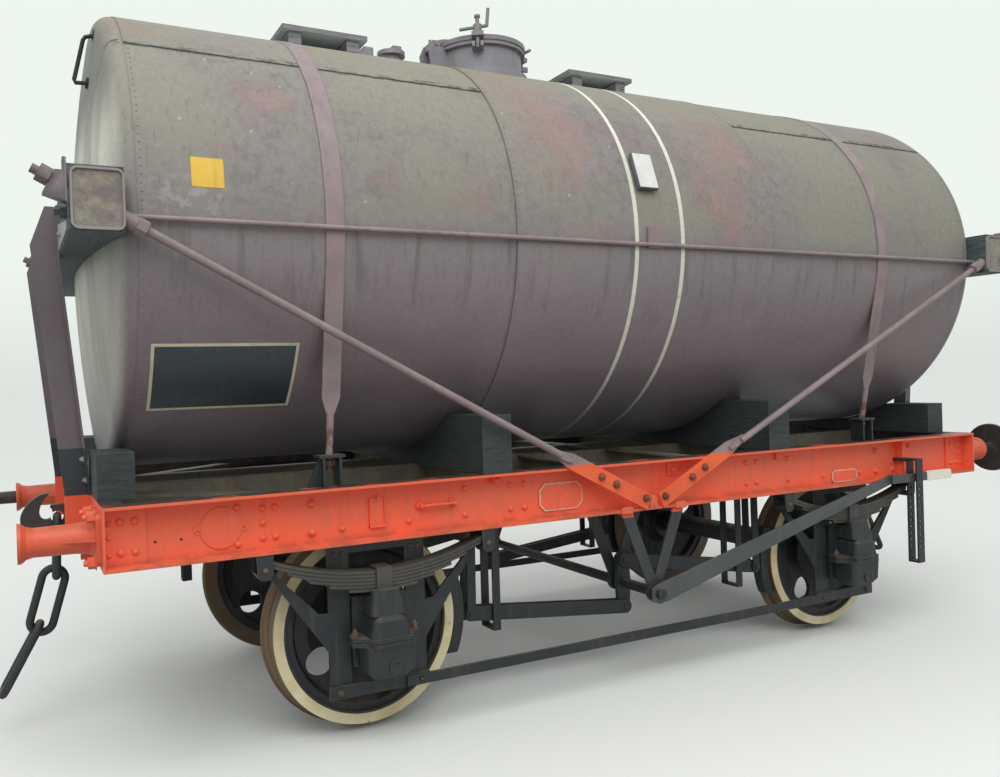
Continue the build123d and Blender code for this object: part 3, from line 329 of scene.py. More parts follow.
def plain_paint(name, base, second, dirt, dirt_amount=0.5, rough=(0.35, 0.6), grain=26.0, rust=0.25):
    """Brushed paint on steel: two tones, dirt in broad patches, worn edges and rust specks."""
    p = Paint(name)
    broad = p.noise(3.5, 5, 0.6)
    fine = p.noise(grain, 6, 0.7)
    streak = p.noise(16, 5, 0.6, stretch=(1.5, 1.5, 0.15))
    colour = p.mix(p.step(broad, 0.35, 0.65), base, second)
    colour = p.mix(p.times(p.step(streak, 0.5, 0.75), dirt_amount), colour, dirt)
    dust = p.times(p.step(p.up(), 0.5, 0.95), p.step(fine, 0.3, 0.6))
    colour = p.mix(p.times(dust, dirt_amount), colour, dirt)
    wear = p.times(p.edges(), p.step(fine, 0.48, 0.6))
    colour = p.mix(p.times(wear, rust), colour, srgb(98, 62, 44))
    speck = p.step(p.noise(60, 4, 0.7, offset=(2, 5, 1)), 0.66, 0.74)
    colour = p.mix(p.times(speck, rust), colour, srgb(84, 58, 44))
    colour = p.shade(colour, p.span(fine, 0.88, 1.12))
    return p, colour, p.span(fine, *rough), fine


def simple(name, *colours, **more):
    p, colour, rough, height = plain_paint(name, *colours, **more)
    return p.finish(colour, rough, height)


def frame_red():
    """Orange-red outside, dark inside the frame, grimy below and on the flange's top."""
    p, colour, rough, height = plain_paint(
        "frame_red", srgb(252, 108, 72), srgb(242, 114, 80), srgb(180, 110, 86), dirt_amount=0.36, rust=0.55)
    darker_towards_bottom = p.times(p.step(p.z, 1.0, 0.955), p.step(p.noise(9, 4, 0.6), 0.4, 0.6))
    colour = p.mix(p.times(darker_towards_bottom, 0.5), colour, srgb(132, 84, 66))
    inside = p.times(p.step(p.size(p.y), 0.9535, 0.9515), p.step(p.size(p.x), 2.8135, 2.8115))
    colour = p.mix(inside, colour, p.mix(p.step(p.noise(6, 4, 0.6), 0.4, 0.6), srgb(52, 50, 48), srgb(84, 74, 64)))
    top = p.times(p.step(p.up(), 0.9, 0.98), p.step(p.z, 1.200, 1.212))
    colour = p.mix(p.times(top, p.step(p.noise(4, 5, 0.7), 0.3, 0.5)), colour, srgb(70, 60, 56))
    return p.finish(colour, rough, height)


def hanger_paint():
    """Black iron whose feet, on the solebar's flange, took the frame's red."""
    p, colour, rough, height = plain_paint(
        "hanger_paint", srgb(52, 56, 58), srgb(43, 47, 50), srgb(84, 78, 68), rust=0.5)
    colour = p.mix(p.step(p.add(p.z, p.times(p.noise(12, 3, 0.5), 0.02)), 0.934, 0.938), colour, srgb(240, 100, 66))
    return p.finish(colour, rough, height)


def post_paint():
    """The end posts: maroon above, black below, red at the foot."""
    p, colour, rough, height = plain_paint(
        "post_paint", srgb(110, 102, 108), srgb(106, 94, 99), srgb(86, 84, 86), rust=0.3)
    colour = p.mix(p.step(p.z, 1.436, 1.430), colour, srgb(46, 54, 60))
    colour = p.mix(p.step(p.z, 1.222, 1.216), colour, srgb(236, 100, 66))
    return p.finish(colour, rough, height)


def rod_paint():
    """Pinkish maroon, red where the palms cross the solebar, with a dirty face on the baulk caps."""
    p, colour, rough, height = plain_paint(
        "rod_paint", srgb(158, 140, 141), srgb(140, 126, 128), srgb(108, 104, 100), rust=0.55, grain=40.0)
    palm = p.times(p.step(p.size(p.x), 0.70, 0.69), p.step(p.z, 1.236, 1.230))
    colour = p.mix(palm, colour, p.mix(p.step(p.noise(5, 4, 0.6), 0.35, 0.65), srgb(255, 114, 64), srgb(240, 100, 58)))
    outer = p.step(p.size(p.y), 1.2240, 1.2250)
    face = p.times(outer, p.times(p.between(p.z, 2.318, 2.536), p.between(p.size(p.x), 2.724, 2.901)))
    cap = p.times(outer, p.step(p.size(p.x), 2.70, 2.71))
    colour = p.mix(p.times(cap, 0.6), colour, srgb(160, 152, 146))
    moss = p.mix(p.step(p.noise(14, 6, 0.7), 0.35, 0.62), srgb(150, 146, 128), srgb(116, 108, 104))
    colour = p.mix(p.times(face, p.step(p.size(p.y), 1.2330, 1.2320)), colour, moss)
    outside = p.times(p.step(p.size(p.x), 2.924, 2.928), p.step(p.z, 2.400, 2.412))
    colour = p.mix(p.times(outside, p.step(p.noise(9, 4, 0.6), 0.25, 0.5)), colour, srgb(104, 94, 98))
    nuts = p.times(p.step(p.size(p.x), 2.915, 2.918), p.between(p.z, 2.340, 2.412))
    colour = p.mix(p.times(nuts, p.step(p.size(p.y), 1.176, 1.172)), colour, srgb(76, 88, 92))
    rusty = p.times(p.step(p.z, 1.52, 1.46), p.between(p.size(p.x), 1.795, 1.845))
    colour = p.mix(p.times(rusty, p.step(p.noise(18, 5, 0.7), 0.4, 0.55)), colour, srgb(104, 74, 60))
    return p.finish(colour, rough, height)


def fitting_paint():
    """The manhole, its lid and the valve: a bluish, faded maroon."""
    return simple("fitting_paint", srgb(138, 138, 144), srgb(132, 126, 130), srgb(104, 100, 96), dirt_amount=0.4,
                  rust=0.55)


def plain_metal(name, base, second, rust=0.4, rough=(0.35, 0.6)):
    return simple(name, srgb(*base), srgb(*second), srgb(90, 84, 76), dirt_amount=0.3, rust=rust, rough=rough)


def running_black(name="running_black", base=(38, 44, 47), second=(29, 34, 37)):
    """Black iron with rust, brake dust and pale dirt on what faces up."""
    p, colour, rough, height = plain_paint(
        name, srgb(*base), srgb(*second), srgb(84, 78, 68), dirt_amount=0.45, rough=(0.42, 0.7), rust=0.5)
    dust = p.times(p.step(p.up(), 0.5, 0.95), p.step(p.noise(10, 4, 0.6, offset=(3, 3, 3)), 0.34, 0.6))
    colour = p.mix(p.times(dust, 0.5), colour, srgb(122, 114, 96))
    rubbed = p.times(p.edges(), p.step(p.noise(14, 4, 0.6, offset=(8, 1, 2)), 0.42, 0.6))
    colour = p.mix(p.times(rubbed, 0.55), colour, srgb(128, 118, 98))
    return p.finish(colour, rough, height)


def spring_iron():
    """Leaves worn to a brownish grey, with dark lines of painted shade along their edges and in the gaps between them.
    """
    p, colour, rough, height = plain_paint(
        "spring_iron", srgb(74, 73, 69), srgb(52, 52, 50), srgb(92, 80, 64), dirt_amount=0.6,
        rough=(0.4, 0.65), rust=0.6)
    # painted shade: the leaves' edges and the gaps between them are drawn nearly black
    colour = p.mix(p.times(p.edges(strength=40.0), 0.9), colour, srgb(18, 18, 18))
    return p.finish(colour, rough, height, soft_edge=False)


def wheel_rim():
    """Rusty tread, cream paint on the outer face."""
    p, colour, rough, height = plain_paint(
        "wheel_rim", srgb(92, 78, 60), srgb(70, 60, 50), srgb(56, 52, 48), rust=0.5)
    bands = p.step(p.noise(1.0, 3, 0.7, stretch=(0.4, 55, 0.4)), 0.38, 0.62)
    colour = p.mix(p.times(bands, 0.7), colour, srgb(140, 114, 76))
    out_x, out_z = p.add(p.size(p.x), -AXLE_X), p.add(p.z, -AXLE_Z)
    radius = p.math("SQRT", p.add(p.times(out_x, out_x), p.times(out_z, out_z)))
    inner = p.step(radius, 0.4235, 0.4215)
    face = p.step(p.size(p.y), 0.8085, 0.8105)
    colour = p.mix(p.times(face, inner), colour, srgb(36, 40, 42))
    face = p.times(face, p.step(radius, 0.4215, 0.4235))
    worn = p.step(p.noise(22, 6, 0.7), 0.28, 0.38)
    cream = p.mix(p.step(p.noise(5, 4, 0.6), 0.35, 0.7), srgb(244, 234, 192), srgb(218, 200, 150))
    colour = p.mix(p.times(face, worn), colour, cream)
    return p.finish(colour, rough, height, soft_edge=False)


def lever_paint():
    """Greyish black with rubbed edges, which also carry a painted highlight, and a white handle."""
    p, colour, rough, height = plain_paint(
        "lever_paint", srgb(78, 84, 84), srgb(68, 74, 75), srgb(106, 100, 88), dirt_amount=0.35, rust=0.35)
    # the rubbed edges are worn steel, lightened further as a painted highlight along them
    worn = p.times(p.edges(), p.step(p.noise(12, 4, 0.6, offset=(4, 2, 6)), 0.35, 0.55))
    colour = p.mix(p.times(worn, 0.6), colour, srgb(146, 152, 146))
    colour = p.mix(p.step(p.size(p.x), 2.235, 2.240), colour, srgb(252, 250, 234))
    return p.finish(colour, rough, height)


def timber(name, base, second, along):
    """Weathered wood with its grain along one axis (0, 1 or 2)."""
    p = Paint(name, edge_radius=0.007)
    thin = [14.0, 14.0, 14.0]
    thin[along] = 0.7
    grain = p.noise(9, 7, 0.65, stretch=tuple(thin), bend=0.4)
    if along == 1:
        # the sawn ends have level streaks
        ends = p.step(p.size(p.facing(1)), 0.7, 0.9)
        level = p.noise(7, 7, 0.7, stretch=(1.4, 9, 9), bend=0.6)
        grain = p.add(p.times(grain, p.math("SUBTRACT", 1.0, ends)), p.times(level, ends))
    broad = p.noise(2.5, 4, 0.6)
    colour = p.mix(p.step(grain, 0.3, 0.7), base, second)
    colour = p.shade(colour, p.span(broad, 0.75, 1.25))
    # painted light: the downward faces of the boards high on the car are painted pale blue-grey, as sky light falling
    # on them
    below = p.times(p.step(p.up(), -0.7, -0.95), p.step(p.z, 3.0, 3.1))
    colour = p.mix(below, colour, srgb(206, 220, 228))
    crack = p.step(p.noise(16, 3, 0.5, stretch=tuple(thin), offset=(5, 3, 1)), 0.66, 0.72)
    colour = p.mix(p.times(p.edges(), p.step(grain, 0.4, 0.6)), colour, srgb(112, 116, 114))
    colour = p.mix(p.times(crack, 0.7), colour, srgb(28, 28, 28))
    height = p.add(p.times(grain, 0.8), p.times(crack, -1.0))
    return p.finish(colour, p.span(grain, 0.6, 0.85), height, 0.004)


def make_materials():
    return {
        "tank_paint": tank_paint(),
        "rod_paint": rod_paint(),
        "fitting_paint": fitting_paint(),
        "hanger_paint": hanger_paint(),
        "frame_red": frame_red(),
        "post_paint": post_paint(),
        "running_black": running_black(),
        "wheel_rim": wheel_rim(),
        "spring_iron": spring_iron(),
        "casing_red": simple("casing_red", srgb(236, 100, 64), srgb(224, 104, 72), srgb(156, 96, 76), dirt_amount=0.45,
                             rust=0.6),
        "wheel_black": running_black("wheel_black", (22, 27, 31), (15, 19, 24)),
        "lever_paint": lever_paint(),
        "hook_iron": running_black("hook_iron", (58, 54, 52), (46, 44, 44)),
        "inner_frame": running_black("inner_frame", (132, 124, 106), (104, 98, 84)),
        "timber": timber("timber", srgb(64, 71, 72), srgb(46, 53, 53), 1),
        "baulk_timber": timber("baulk_timber", srgb(50, 61, 65), srgb(92, 106, 108), 1),
        "board": timber("board", srgb(146, 142, 144), srgb(112, 114, 120), 0),
        "old_bolt": plain_metal("old_bolt", (116, 84, 66), (84, 66, 56), rust=0.8, rough=(0.5, 0.8)),
        "palm_bolt": plain_metal("palm_bolt", (158, 84, 66), (112, 64, 54), rust=0.6, rough=(0.45, 0.7)),
        "bare_steel": plain_metal("bare_steel", (168, 170, 166), (146, 150, 148)),
        "cream_line": plain_metal("cream_line", (232, 226, 196), (214, 206, 172)),
        "panel_dark": plain_metal("panel_dark", (40, 54, 60), (34, 46, 54), rust=0.15, rough=(0.3, 0.45)),
        "sign_edge": plain_metal("sign_edge", (96, 104, 108), (80, 88, 92)),
        "sign_white": plain_metal("sign_white", (234, 236, 230), (222, 224, 216), rust=0.2),
        "yellow_patch": plain_metal("yellow_patch", (232, 190, 62), (220, 176, 56), rust=0.2),
    }


def seen_rays(nodes, links):
    """1 for the camera's rays and for what metal and glass show."""
    rays = nodes.new("ShaderNodeLightPath")
    total = rays.outputs["Is Camera Ray"]
    for kind in ("Is Glossy Ray", "Is Transmission Ray"):
        node = nodes.new("ShaderNodeMath")
        node.operation = "MAXIMUM"
        links.new(total, node.inputs[0])
        links.new(rays.outputs[kind], node.inputs[1])
        total = node.outputs[0]
    return total


def floor_material():
    """Pale to the camera, and dim where it would light the car's underside."""
    material = bpy.data.materials.new("floor")
    material.use_nodes = True
    nodes, links = material.node_tree.nodes, material.node_tree.links
    shader = nodes["Principled BSDF"]
    shader.inputs["Roughness"].default_value = 0.95
    mix = colour_mix(nodes)
    links.new(seen_rays(nodes, links), mix.inputs["Factor"])
    mix.inputs[MIX_A].default_value = (0.25, 0.24, 0.23, 1)
    mix.inputs[MIX_B].default_value = (0.85, 0.88, 0.85, 1)
    links.new(mix.outputs[MIX_OUT], shader.inputs["Base Color"])
    return material


def make_stage():
    mesh = bpy.data.meshes.new("floor")
    reach = 80
    mesh.from_pydata([(-reach, -reach, -0.001), (reach, -reach, -0.001), (reach, reach, -0.001),
                      (-reach, reach, -0.001)], [], [(0, 1, 2, 3)])
    floor = bpy.data.objects.new("floor", mesh)
    mesh.materials.append(floor_material())
    bpy.context.scene.collection.objects.link(floor)


def make_light():
    world = bpy.data.worlds.new("world")
    bpy.context.scene.world = world
    world.use_nodes = True
    nodes, links = world.node_tree.nodes, world.node_tree.links
    sky = nodes["Background"]
    place = nodes.new("ShaderNodeTexCoord")
    split = nodes.new("ShaderNodeSeparateXYZ")
    links.new(place.outputs["Generated"], split.inputs[0])
    ramp = nodes.new("ShaderNodeValToRGB")
    ramp.color_ramp.elements[0].position = 0.0
    ramp.color_ramp.elements[0].color = (0.50, 0.51, 0.52, 1)
    ramp.color_ramp.elements[1].position = 0.9
    ramp.color_ramp.elements[1].color = (1.0, 1.0, 1.0, 1)
    links.new(split.outputs[2], ramp.inputs[0])
    mix = colour_mix(nodes)
    links.new(seen_rays(nodes, links), mix.inputs["Factor"])
    links.new(ramp.outputs[0], mix.inputs[MIX_A])
    haze = nodes.new("ShaderNodeValToRGB")
    haze.color_ramp.elements[0].color = (0.735, 0.765, 0.742, 1)
    haze.color_ramp.elements[1].position = 0.14
    haze.color_ramp.elements[1].color = (0.863, 0.922, 0.863, 1)
    links.new(split.outputs[2], haze.inputs[0])
    links.new(haze.outputs[0], mix.inputs[MIX_B])
    links.new(mix.outputs[MIX_OUT], sky.inputs["Color"])
    sky.inputs["Strength"].default_value = 1.0
    data = bpy.data.lights.new("soft_box", "AREA")
    data.shape = "RECTANGLE"
    data.size, data.size_y = 9.0, 6.0
    data.energy = 380
    lamp = bpy.data.objects.new("soft_box", data)
    lamp.location = (-3.0, -5.5, 8.0)
    lamp.rotation_euler = (Vector((0, 0, 1.5)) - lamp.location).to_track_quat("-Z", "Y").to_euler()
    bpy.context.scene.collection.objects.link(lamp)
    bpy.context.scene.view_settings.view_transform = "Standard"


# Added pieces

class Shape:
    """Solid pieces gathered in one mesh, in the car's own frame."""

    def __init__(self, name, material, body="wagon", bevel=0.0):
        self.name, self.material, self.body, self.bevel = name, material, body, bevel
        self.bm = bmesh.new()

    def turned(self, centre, normal, profile, sides=14, start=0.0):
        """A shape turned about the normal: (height, radius) from the foot up, closed at both ends."""
        up = Vector(normal).normalized()
        side = up.orthogonal().normalized()
        other = up.cross(side)
        rings = []
        for height, radius in profile:
            if radius < 1e-6:
                rings.append([self.bm.verts.new(Vector(centre) + up * height)])
                continue
            rings.append([self.bm.verts.new(Vector(centre) + up * height + (
                side * math.cos(a) + other * math.sin(a)) * radius)
                for a in (start + 2 * math.pi * n / sides for n in range(sides))])
        self.bm.faces.new(list(reversed(rings[0])))
        for low, high in zip(rings, rings[1:]):
            for n in range(sides):
                m = (n + 1) % sides
                if len(high) == 1:
                    self.bm.faces.new((low[n], low[m], high[0]))
                else:
                    self.bm.faces.new((low[n], low[m], high[m], high[n]))
        if len(rings[-1]) > 1:
            self.bm.faces.new(rings[-1])

    def rivet(self, centre, normal, radius, height, sides=14):
        self.turned(centre, normal, [(-0.002, radius), (height * 0.45, radius * 0.88), (height * 0.82, radius * 0.55),
                                     (height, 0)], sides)

    def bolt(self, centre, normal, radius, height, sides=6):
        """A nut with the bolt's end standing out of it."""
        self.turned(centre, normal, [(-0.002, radius * 1.25), (0.003, radius * 1.25), (0.0031, radius),
                                     (height * 0.9, radius), (height, radius * 0.86)], sides, 0.3)
        self.turned(centre, normal, [(height * 0.8, radius * 0.5), (height * 1.4, radius * 0.5),
                                     (height * 1.5, radius * 0.4)], 12)

    def prism(self, outline, along):
        """A plane outline carried along a vector."""
        low = [self.bm.verts.new(Vector(p)) for p in outline]
        high = [self.bm.verts.new(Vector(p) + Vector(along)) for p in outline]
        self.bm.faces.new(list(reversed(low)))
        self.bm.faces.new(high)
        for n in range(len(low)):
            m = (n + 1) % len(low)
            self.bm.faces.new((low[n], low[m], high[m], high[n]))

    def box(self, low, high):
        outline = [(low[0], low[1], low[2]), (high[0], low[1], low[2]), (high[0], high[1], low[2]),
                   (low[0], high[1], low[2])]
        self.prism(outline, (0, 0, high[2] - low[2]))

    def tube(self, path, radius, sides=10):
        """A round bar through the points of a path."""
        points = [Vector(p) for p in path]
        rings = []
        for n, point in enumerate(points):
            before, after = points[max(n - 1, 0)], points[min(n + 1, len(points) - 1)]
            way = (after - before).normalized()
            side = way.orthogonal().normalized() if not rings else (side - way * side.dot(way)).normalized()
            other = way.cross(side)
            rings.append([self.bm.verts.new(point + (side * math.cos(a) + other * math.sin(a)) * radius)
                          for a in (2 * math.pi * k / sides for k in range(sides))])
        self.bm.faces.new(list(reversed(rings[0])))
        self.bm.faces.new(rings[-1])
        for low, high in zip(rings, rings[1:]):
            for k in range(sides):
                m = (k + 1) % sides
                self.bm.faces.new((low[k], low[m], high[m], high[k]))

    def ring(self, top, bottom, half, wide, radius, sides=16, steps=20):
        """A link: a round bar closed on itself, straight at its sides and round at its ends."""
        top, bottom, wide = Vector(top), Vector(bottom), Vector(wide)
        down = (bottom - top).normalized()
        wide = (wide - down * wide.dot(down)).normalized()
        path = []
        for centre, turn in ((top + down * half, 0.0), (bottom - down * half, math.pi)):
            for n in range(steps + 1):
                a = turn + math.pi * n / steps
                path.append((centre, wide * math.cos(a) - down * math.sin(a)))
        rings = []
        for centre, out in path:
            flat = wide.cross(down)
            rings.append([self.bm.verts.new(centre + out * (half + math.cos(a) * radius) + flat * math.sin(a) * radius)
                          for a in (2 * math.pi * k / sides for k in range(sides))])
        for low, high in zip(rings, rings[1:] + rings[:1]):
            for k in range(sides):
                m = (k + 1) % sides
                self.bm.faces.new((low[k], low[m], high[m], high[k]))

    def shell(self, x_low, x_high, a_low, a_high, r_low, r_high, side=1, steps=24):
        """A curved plate on the tank: angles from the crown down the -Y side, or the +Y side with side -1."""
        rows = []
        for n in range(steps + 1):
            a = a_low + (a_high - a_low) * n / steps
            y, z = -side * math.sin(a), math.cos(a)
            rows.append([self.bm.verts.new((x, y * r, TANK_Z + z * r))
                         for x, r in ((x_low, r_low), (x_high, r_low), (x_high, r_high), (x_low, r_high))])
        self.bm.faces.new(rows[0])
        self.bm.faces.new(list(reversed(rows[-1])))
        for one, two in zip(rows, rows[1:]):
            for k in range(4):
                m = (k + 1) % 4
                self.bm.faces.new((one[m], one[k], two[k], two[m]))

    def done(self):
        bmesh.ops.recalc_face_normals(self.bm, faces=self.bm.faces[:])
        mesh = bpy.data.meshes.new(self.name)
        self.bm.to_mesh(mesh)
        self.bm.free()
        mesh.materials.append(materials[self.material])
        mesh.shade_smooth()
        mesh.set_sharp_from_angle(angle=math.radians(40))
        thing = bpy.data.objects.new(self.name, mesh)
        bpy.context.scene.collection.objects.link(thing)
        if self.bevel:
            edge = thing.modifiers.new("edge", "BEVEL")
            edge.width = self.bevel
            edge.segments = 2
            edge.limit_method = "ANGLE"
        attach(thing, self.body)
        return thing


# Rivets on one half of a solebar's web, mirrored on the other half: (along the car, height)
WEB_RIVETS = [(2.746, 1.147), (2.687, 1.147), (2.746, 1.019), (2.687, 1.019), (2.257, 1.162), (2.257, 1.000),
              (2.145, 1.148), (2.088, 1.148), (2.145, 1.085), (2.145, 1.017), (2.088, 1.017), (1.772, 1.019),
              (1.431, 1.022), (1.123, 1.152), (1.123, 1.022), (0.860, 1.148), (0.776, 1.148), (0.860, 1.027),
              (0.776, 1.027)]
WEB_BOLTS = [(1.920, 1.148), (1.920, 1.017)]
PALM_BOLTS = [(0.358, 1.160), (0.263, 1.113), (0.066, 1.023)]

# Links of a coupling: top x out from the headstock, top z, bottom x, bottom z, half width, its direction
LINK_BAR = 0.020
LINKS = [(0.125, 1.066, 0.138, 0.763, 0.052, (0, 1, 0)), (0.137, 0.803, 0.226, 0.493, 0.054, (1, 0, 0)),
         (0.219, 0.536, 0.398, 0.212, 0.046, (0, 1, 0))]


def solebar_rivets():
    """Rivets on both solebars. Those near the ends stand on the corner plates."""
    rivets = Shape("solebar_rivets", "frame_red")
    for side in (-1, 1):
        face = side * WEB_FACE
        for end in (-1, 1):
            for x, z in WEB_RIVETS:
                stand = CORNER_PLATE if x > 2.65 else 0.0
                rivets.rivet((end * x, face + side * stand, z), (0, side, 0), 0.0175, 0.013)
            for x, z in WEB_BOLTS:
                rivets.rivet((end * x, face, z), (0, side, 0), 0.026, 0.008, 16)
                rivets.rivet((end * x, face + side * 0.005, z), (0, side, 0), 0.017, 0.020)
            for z in (1.143, 1.086, 1.012):
                rivets.rivet((end * 2.790, face + side * CORNER_PLATE, z), (0, side, 0), 0.012, 0.009)
    rivets.done()


def palm_bolts():
    """Bolts that hold the slanting rods' palms to the solebars."""
    bolts = Shape("palm_bolts", "palm_bolt")
    for side in (-1, 1):
        for end in (-1, 1):
            for x, z in PALM_BOLTS:
                bolts.bolt((end * x, side * 1.062, z), (0, side, 0), 0.019, 0.018)
    bolts.done()


def solebar_plates():
    """Blank plates and small fittings on the front solebar."""
    face = -WEB_FACE
    plates = Shape("solebar_plates", "frame_red", bevel=0.0015)
    lines = Shape("plate_borders", "cream_line")
    # the round plate with two ears, and its raised rim
    centre = (-2.328, face, 1.080)
    plates.turned(centre, (0, -1, 0), [(-0.001, 0.092), (0.005, 0.092), (0.0055, 0.086)], 40)
    for x in (-2.426, -2.230):
        plates.turned((x, face, 1.080), (0, -1, 0), [(-0.001, 0.022), (0.005, 0.022)], 20)
        plates.rivet((x, face - 0.004, 1.080), (0, -1, 0), 0.010, 0.008)
    # the eight-sided plate and the small one, each with a pale raised border
    for x_low, x_high, z_low, z_high, cut in ((-0.690, -0.412, 0.990, 1.142, 0.035),
                                              (1.505, 1.741, 0.968, 1.052, 0.02)):
        for inset, depth, shape in ((0.0, 0.005, plates), (0.004, 0.0075, lines), (0.010, 0.0085, plates)):
            a, b, c, d = x_low + inset, x_high - inset, z_low + inset, z_high - inset
            k = cut - inset * 0.4
            outline = [(a + k, c), (b - k, c), (b, c + k), (b, d - k), (b - k, d), (a + k, d), (a, d - k), (a, c + k)]
            shape.prism([(x, face, z) for x, z in outline], (0, -depth, 0))
    # the label clip: a back plate, two side lips, a foot and a spring finger
    plates.box((-1.638, face - 0.005, 1.008), (-1.556, face, 1.150))
    for x in (-1.638, -1.562):
        plates.box((x, face - 0.012, 1.008), (x + 0.006, face - 0.004, 1.146))
    plates.box((-1.638, face - 0.014, 1.008), (-1.556, face - 0.004, 1.022))
    plates.tube([(-1.597, face - 0.006, 1.158), (-1.597, face - 0.018, 1.160), (-1.597, face - 0.020, 1.132)], 0.004)
    # the hand bar on its two bosses
    for x in (-1.371, -1.192):
        plates.turned((x, face, 1.090), (0, -1, 0), [(-0.001, 0.026), (0.010, 0.024), (0.020, 0.014), (0.036, 0.012),
                                                    (0.040, 0)], 18)
    plates.tube([(-1.371, face - 0.030, 1.090), (-1.192, face - 0.030, 1.090)], 0.009)
    # small brackets
    plates.box((-0.975, face - 0.030, 1.166), (-0.932, face, 1.196))
    plates.rivet((-0.952, face - 0.028, 1.180), (0, -1, 0), 0.017, 0.014)
    plates.box((0.170, face - 0.010, 1.120), (0.246, face, 1.188))
    plates.rivet((0.207, face - 0.010, 1.152), (0, -1, 0), 0.020, 0.015)
    plates.box((1.015, face - 0.016, 1.150), (1.062, face, 1.196))
    plates.box((2.128, face - 0.050, 0.968), (2.142, face, 1.206))
    plates.done()
    lines.done()
    holes = Shape("web_holes", "wheel_black")
    for x in (-2.606, -2.499):
        holes.turned((x, face, 1.048), (0, -1, 0), [(-0.001, 0.006), (0.0006, 0.006)], 14)
    holes.done()


def tank_plates():
    """The top plates of the end courses, lapped over the lower ones, and the rivets round the courses' edges."""
    plates = Shape("tank_top_plates", "tank_paint")
    for side in (-1, 1):
        for x_low, x_high in ((-SEAM_X, -COURSE_X), (COURSE_X, SEAM_X)):
            plates.shell(x_low + 0.003, x_high - 0.003, 0.0, TOP_PLATE_ANGLE, END_R - 0.004, END_R + 0.0035, side, 40)
    plates.done()
    dots = Shape("ring_rivets", "tank_paint")
    for x, radius in ((-SEAM_X + 0.018, END_R), (SEAM_X - 0.018, END_R), (-COURSE_X + 0.016, TANK_R),
                      (COURSE_X - 0.016, TANK_R)):
        count = 200
        for n in range(count):
            a = 2 * math.pi * n / count
            if radius == END_R and math.cos(a) > math.cos(TOP_PLATE_ANGLE + 0.02):
                continue
            out = (0, math.sin(a), math.cos(a))
            dots.rivet((x, out[1] * radius, TANK_Z + out[2] * radius), out, 0.0055, 0.0028, 8)
    dots.done()


def tank_markings():
    """A blank dark panel in a pale border, a blank yellow square, and a blank sign box on brackets."""
    panel = Shape("blank_panel", "panel_dark")
    border = Shape("panel_border", "cream_line")
    low, high = math.radians(118.7), math.radians(137.2)
    x_low, x_high, line = -2.600, -1.955, 0.014
    turn = line / END_R
    panel.shell(x_low + line, x_high - line, low + turn, high - turn, END_R - 0.001, END_R + 0.0012)
    border.shell(x_low, x_high, low, low + turn, END_R - 0.001, END_R + 0.0012, 1, 4)
    border.shell(x_low, x_high, high - turn, high, END_R - 0.001, END_R + 0.0012, 1, 4)
    border.shell(x_low, x_low + line, low + turn, high - turn, END_R - 0.001, END_R + 0.0012)
    border.shell(x_high - line, x_high, low + turn, high - turn, END_R - 0.001, END_R + 0.0012)
    panel.done()
    border.done()
    square = Shape("yellow_square", "yellow_patch")
    square.shell(-2.438, -2.302, math.radians(78.2), math.radians(84.8), END_R - 0.001, END_R + 0.0012)
    square.done()
    sign = Shape("sign_box", "sign_white", bevel=0.002)
    box = Shape("sign_sides", "sign_edge", bevel=0.003)
    turn = math.radians(71.9)
    out = Vector((0, -math.sin(turn), math.cos(turn)))
    down = Vector((0, -math.cos(turn), -math.sin(turn)))
    foot = Vector((-0.046, 0, TANK_Z)) + out * (TANK_R + 0.009)
    for shape, half, tall, low, high in ((box, 0.066, 0.106, 0.0, 0.024), (sign, 0.062, 0.102, 0.0235, 0.026)):
        corners = [foot + out * low + Vector((a * half, 0, 0)) + down * (b * tall)
                   for a, b in ((-1, -1), (1, -1), (1, 1), (-1, 1))]
        shape.prism(corners, out * (high - low))
    for a in (-0.045, 0.033):
        middle = foot + Vector((a, 0, 0)) - out * 0.012
        corners = [middle + Vector((b * 0.008, 0, 0)) + down * (c * 0.09)
                   for b, c in ((-1, -1), (1, -1), (1, 1), (-1, 1))]
        box.prism(corners, out * 0.014)
    sign.done()
    box.done()


def end_fittings():
    """The grab iron on the left end, the bolts of the posts and buffers, and the straps on the baulks."""
    grab = Shape("grab_iron", "wheel_black")
    grab.tube([(-2.722, -0.4, 3.372), (-2.772, -0.4, 3.356), (-2.782, -0.4, 3.340), (-2.826, -0.4, 3.150),
               (-2.822, -0.4, 3.136), (-2.762, -0.4, 3.140)], 0.010, 8)
    for x, z in ((-2.731, 3.370), (-2.768, 3.140)):
        grab.turned((x, -0.4, z), (-1, 0, 0.12), [(-0.004, 0.026), (0.008, 0.026), (0.010, 0.020)], 16)
    grab.done()
    bolts = Shape("end_bolts", "bare_steel")
    red = Shape("buffer_bolts", "frame_red")
    cleat = Shape("baulk_straps", "bare_steel", bevel=0.001)
    for end in (-1, 1):
        for side in (-1, 1):
            for z in (1.382, 1.286):
                for y in (POST_Y - 0.024, POST_Y + 0.024):
                    slope = (POST_TOP_X - HALF_FRAME) / (POST_TOP_Z - POST_FOOT_Z) * (z - POST_FOOT_Z)
                    bolts.bolt((end * (HALF_FRAME + 0.012 + slope), side * y, z), (end, 0, 0), 0.013, 0.012)
            for y in (-0.082, 0.082):
                for z in (-0.094, 0.094):
                    red.bolt((end * (HALF_FRAME + 0.020), side * BUFFER_Y + y, BUFFER_Z + z), (end, 0, 0), 0.025, 0.032)
            outline = [(2.920, -0.552, 2.440), (2.920, -1.170, 2.345), (2.920, -1.170, 2.312), (2.920, -0.552, 2.318)]
            cleat.prism([(end * x, -side * y, z) for x, y, z in outline], (end * 0.005, 0, 0))
            cleat.bolt((end * 2.924, side * 0.757, 2.362), (end, 0, 0), 0.012, 0.010)
    for shape in (bolts, red, cleat):
        shape.done()


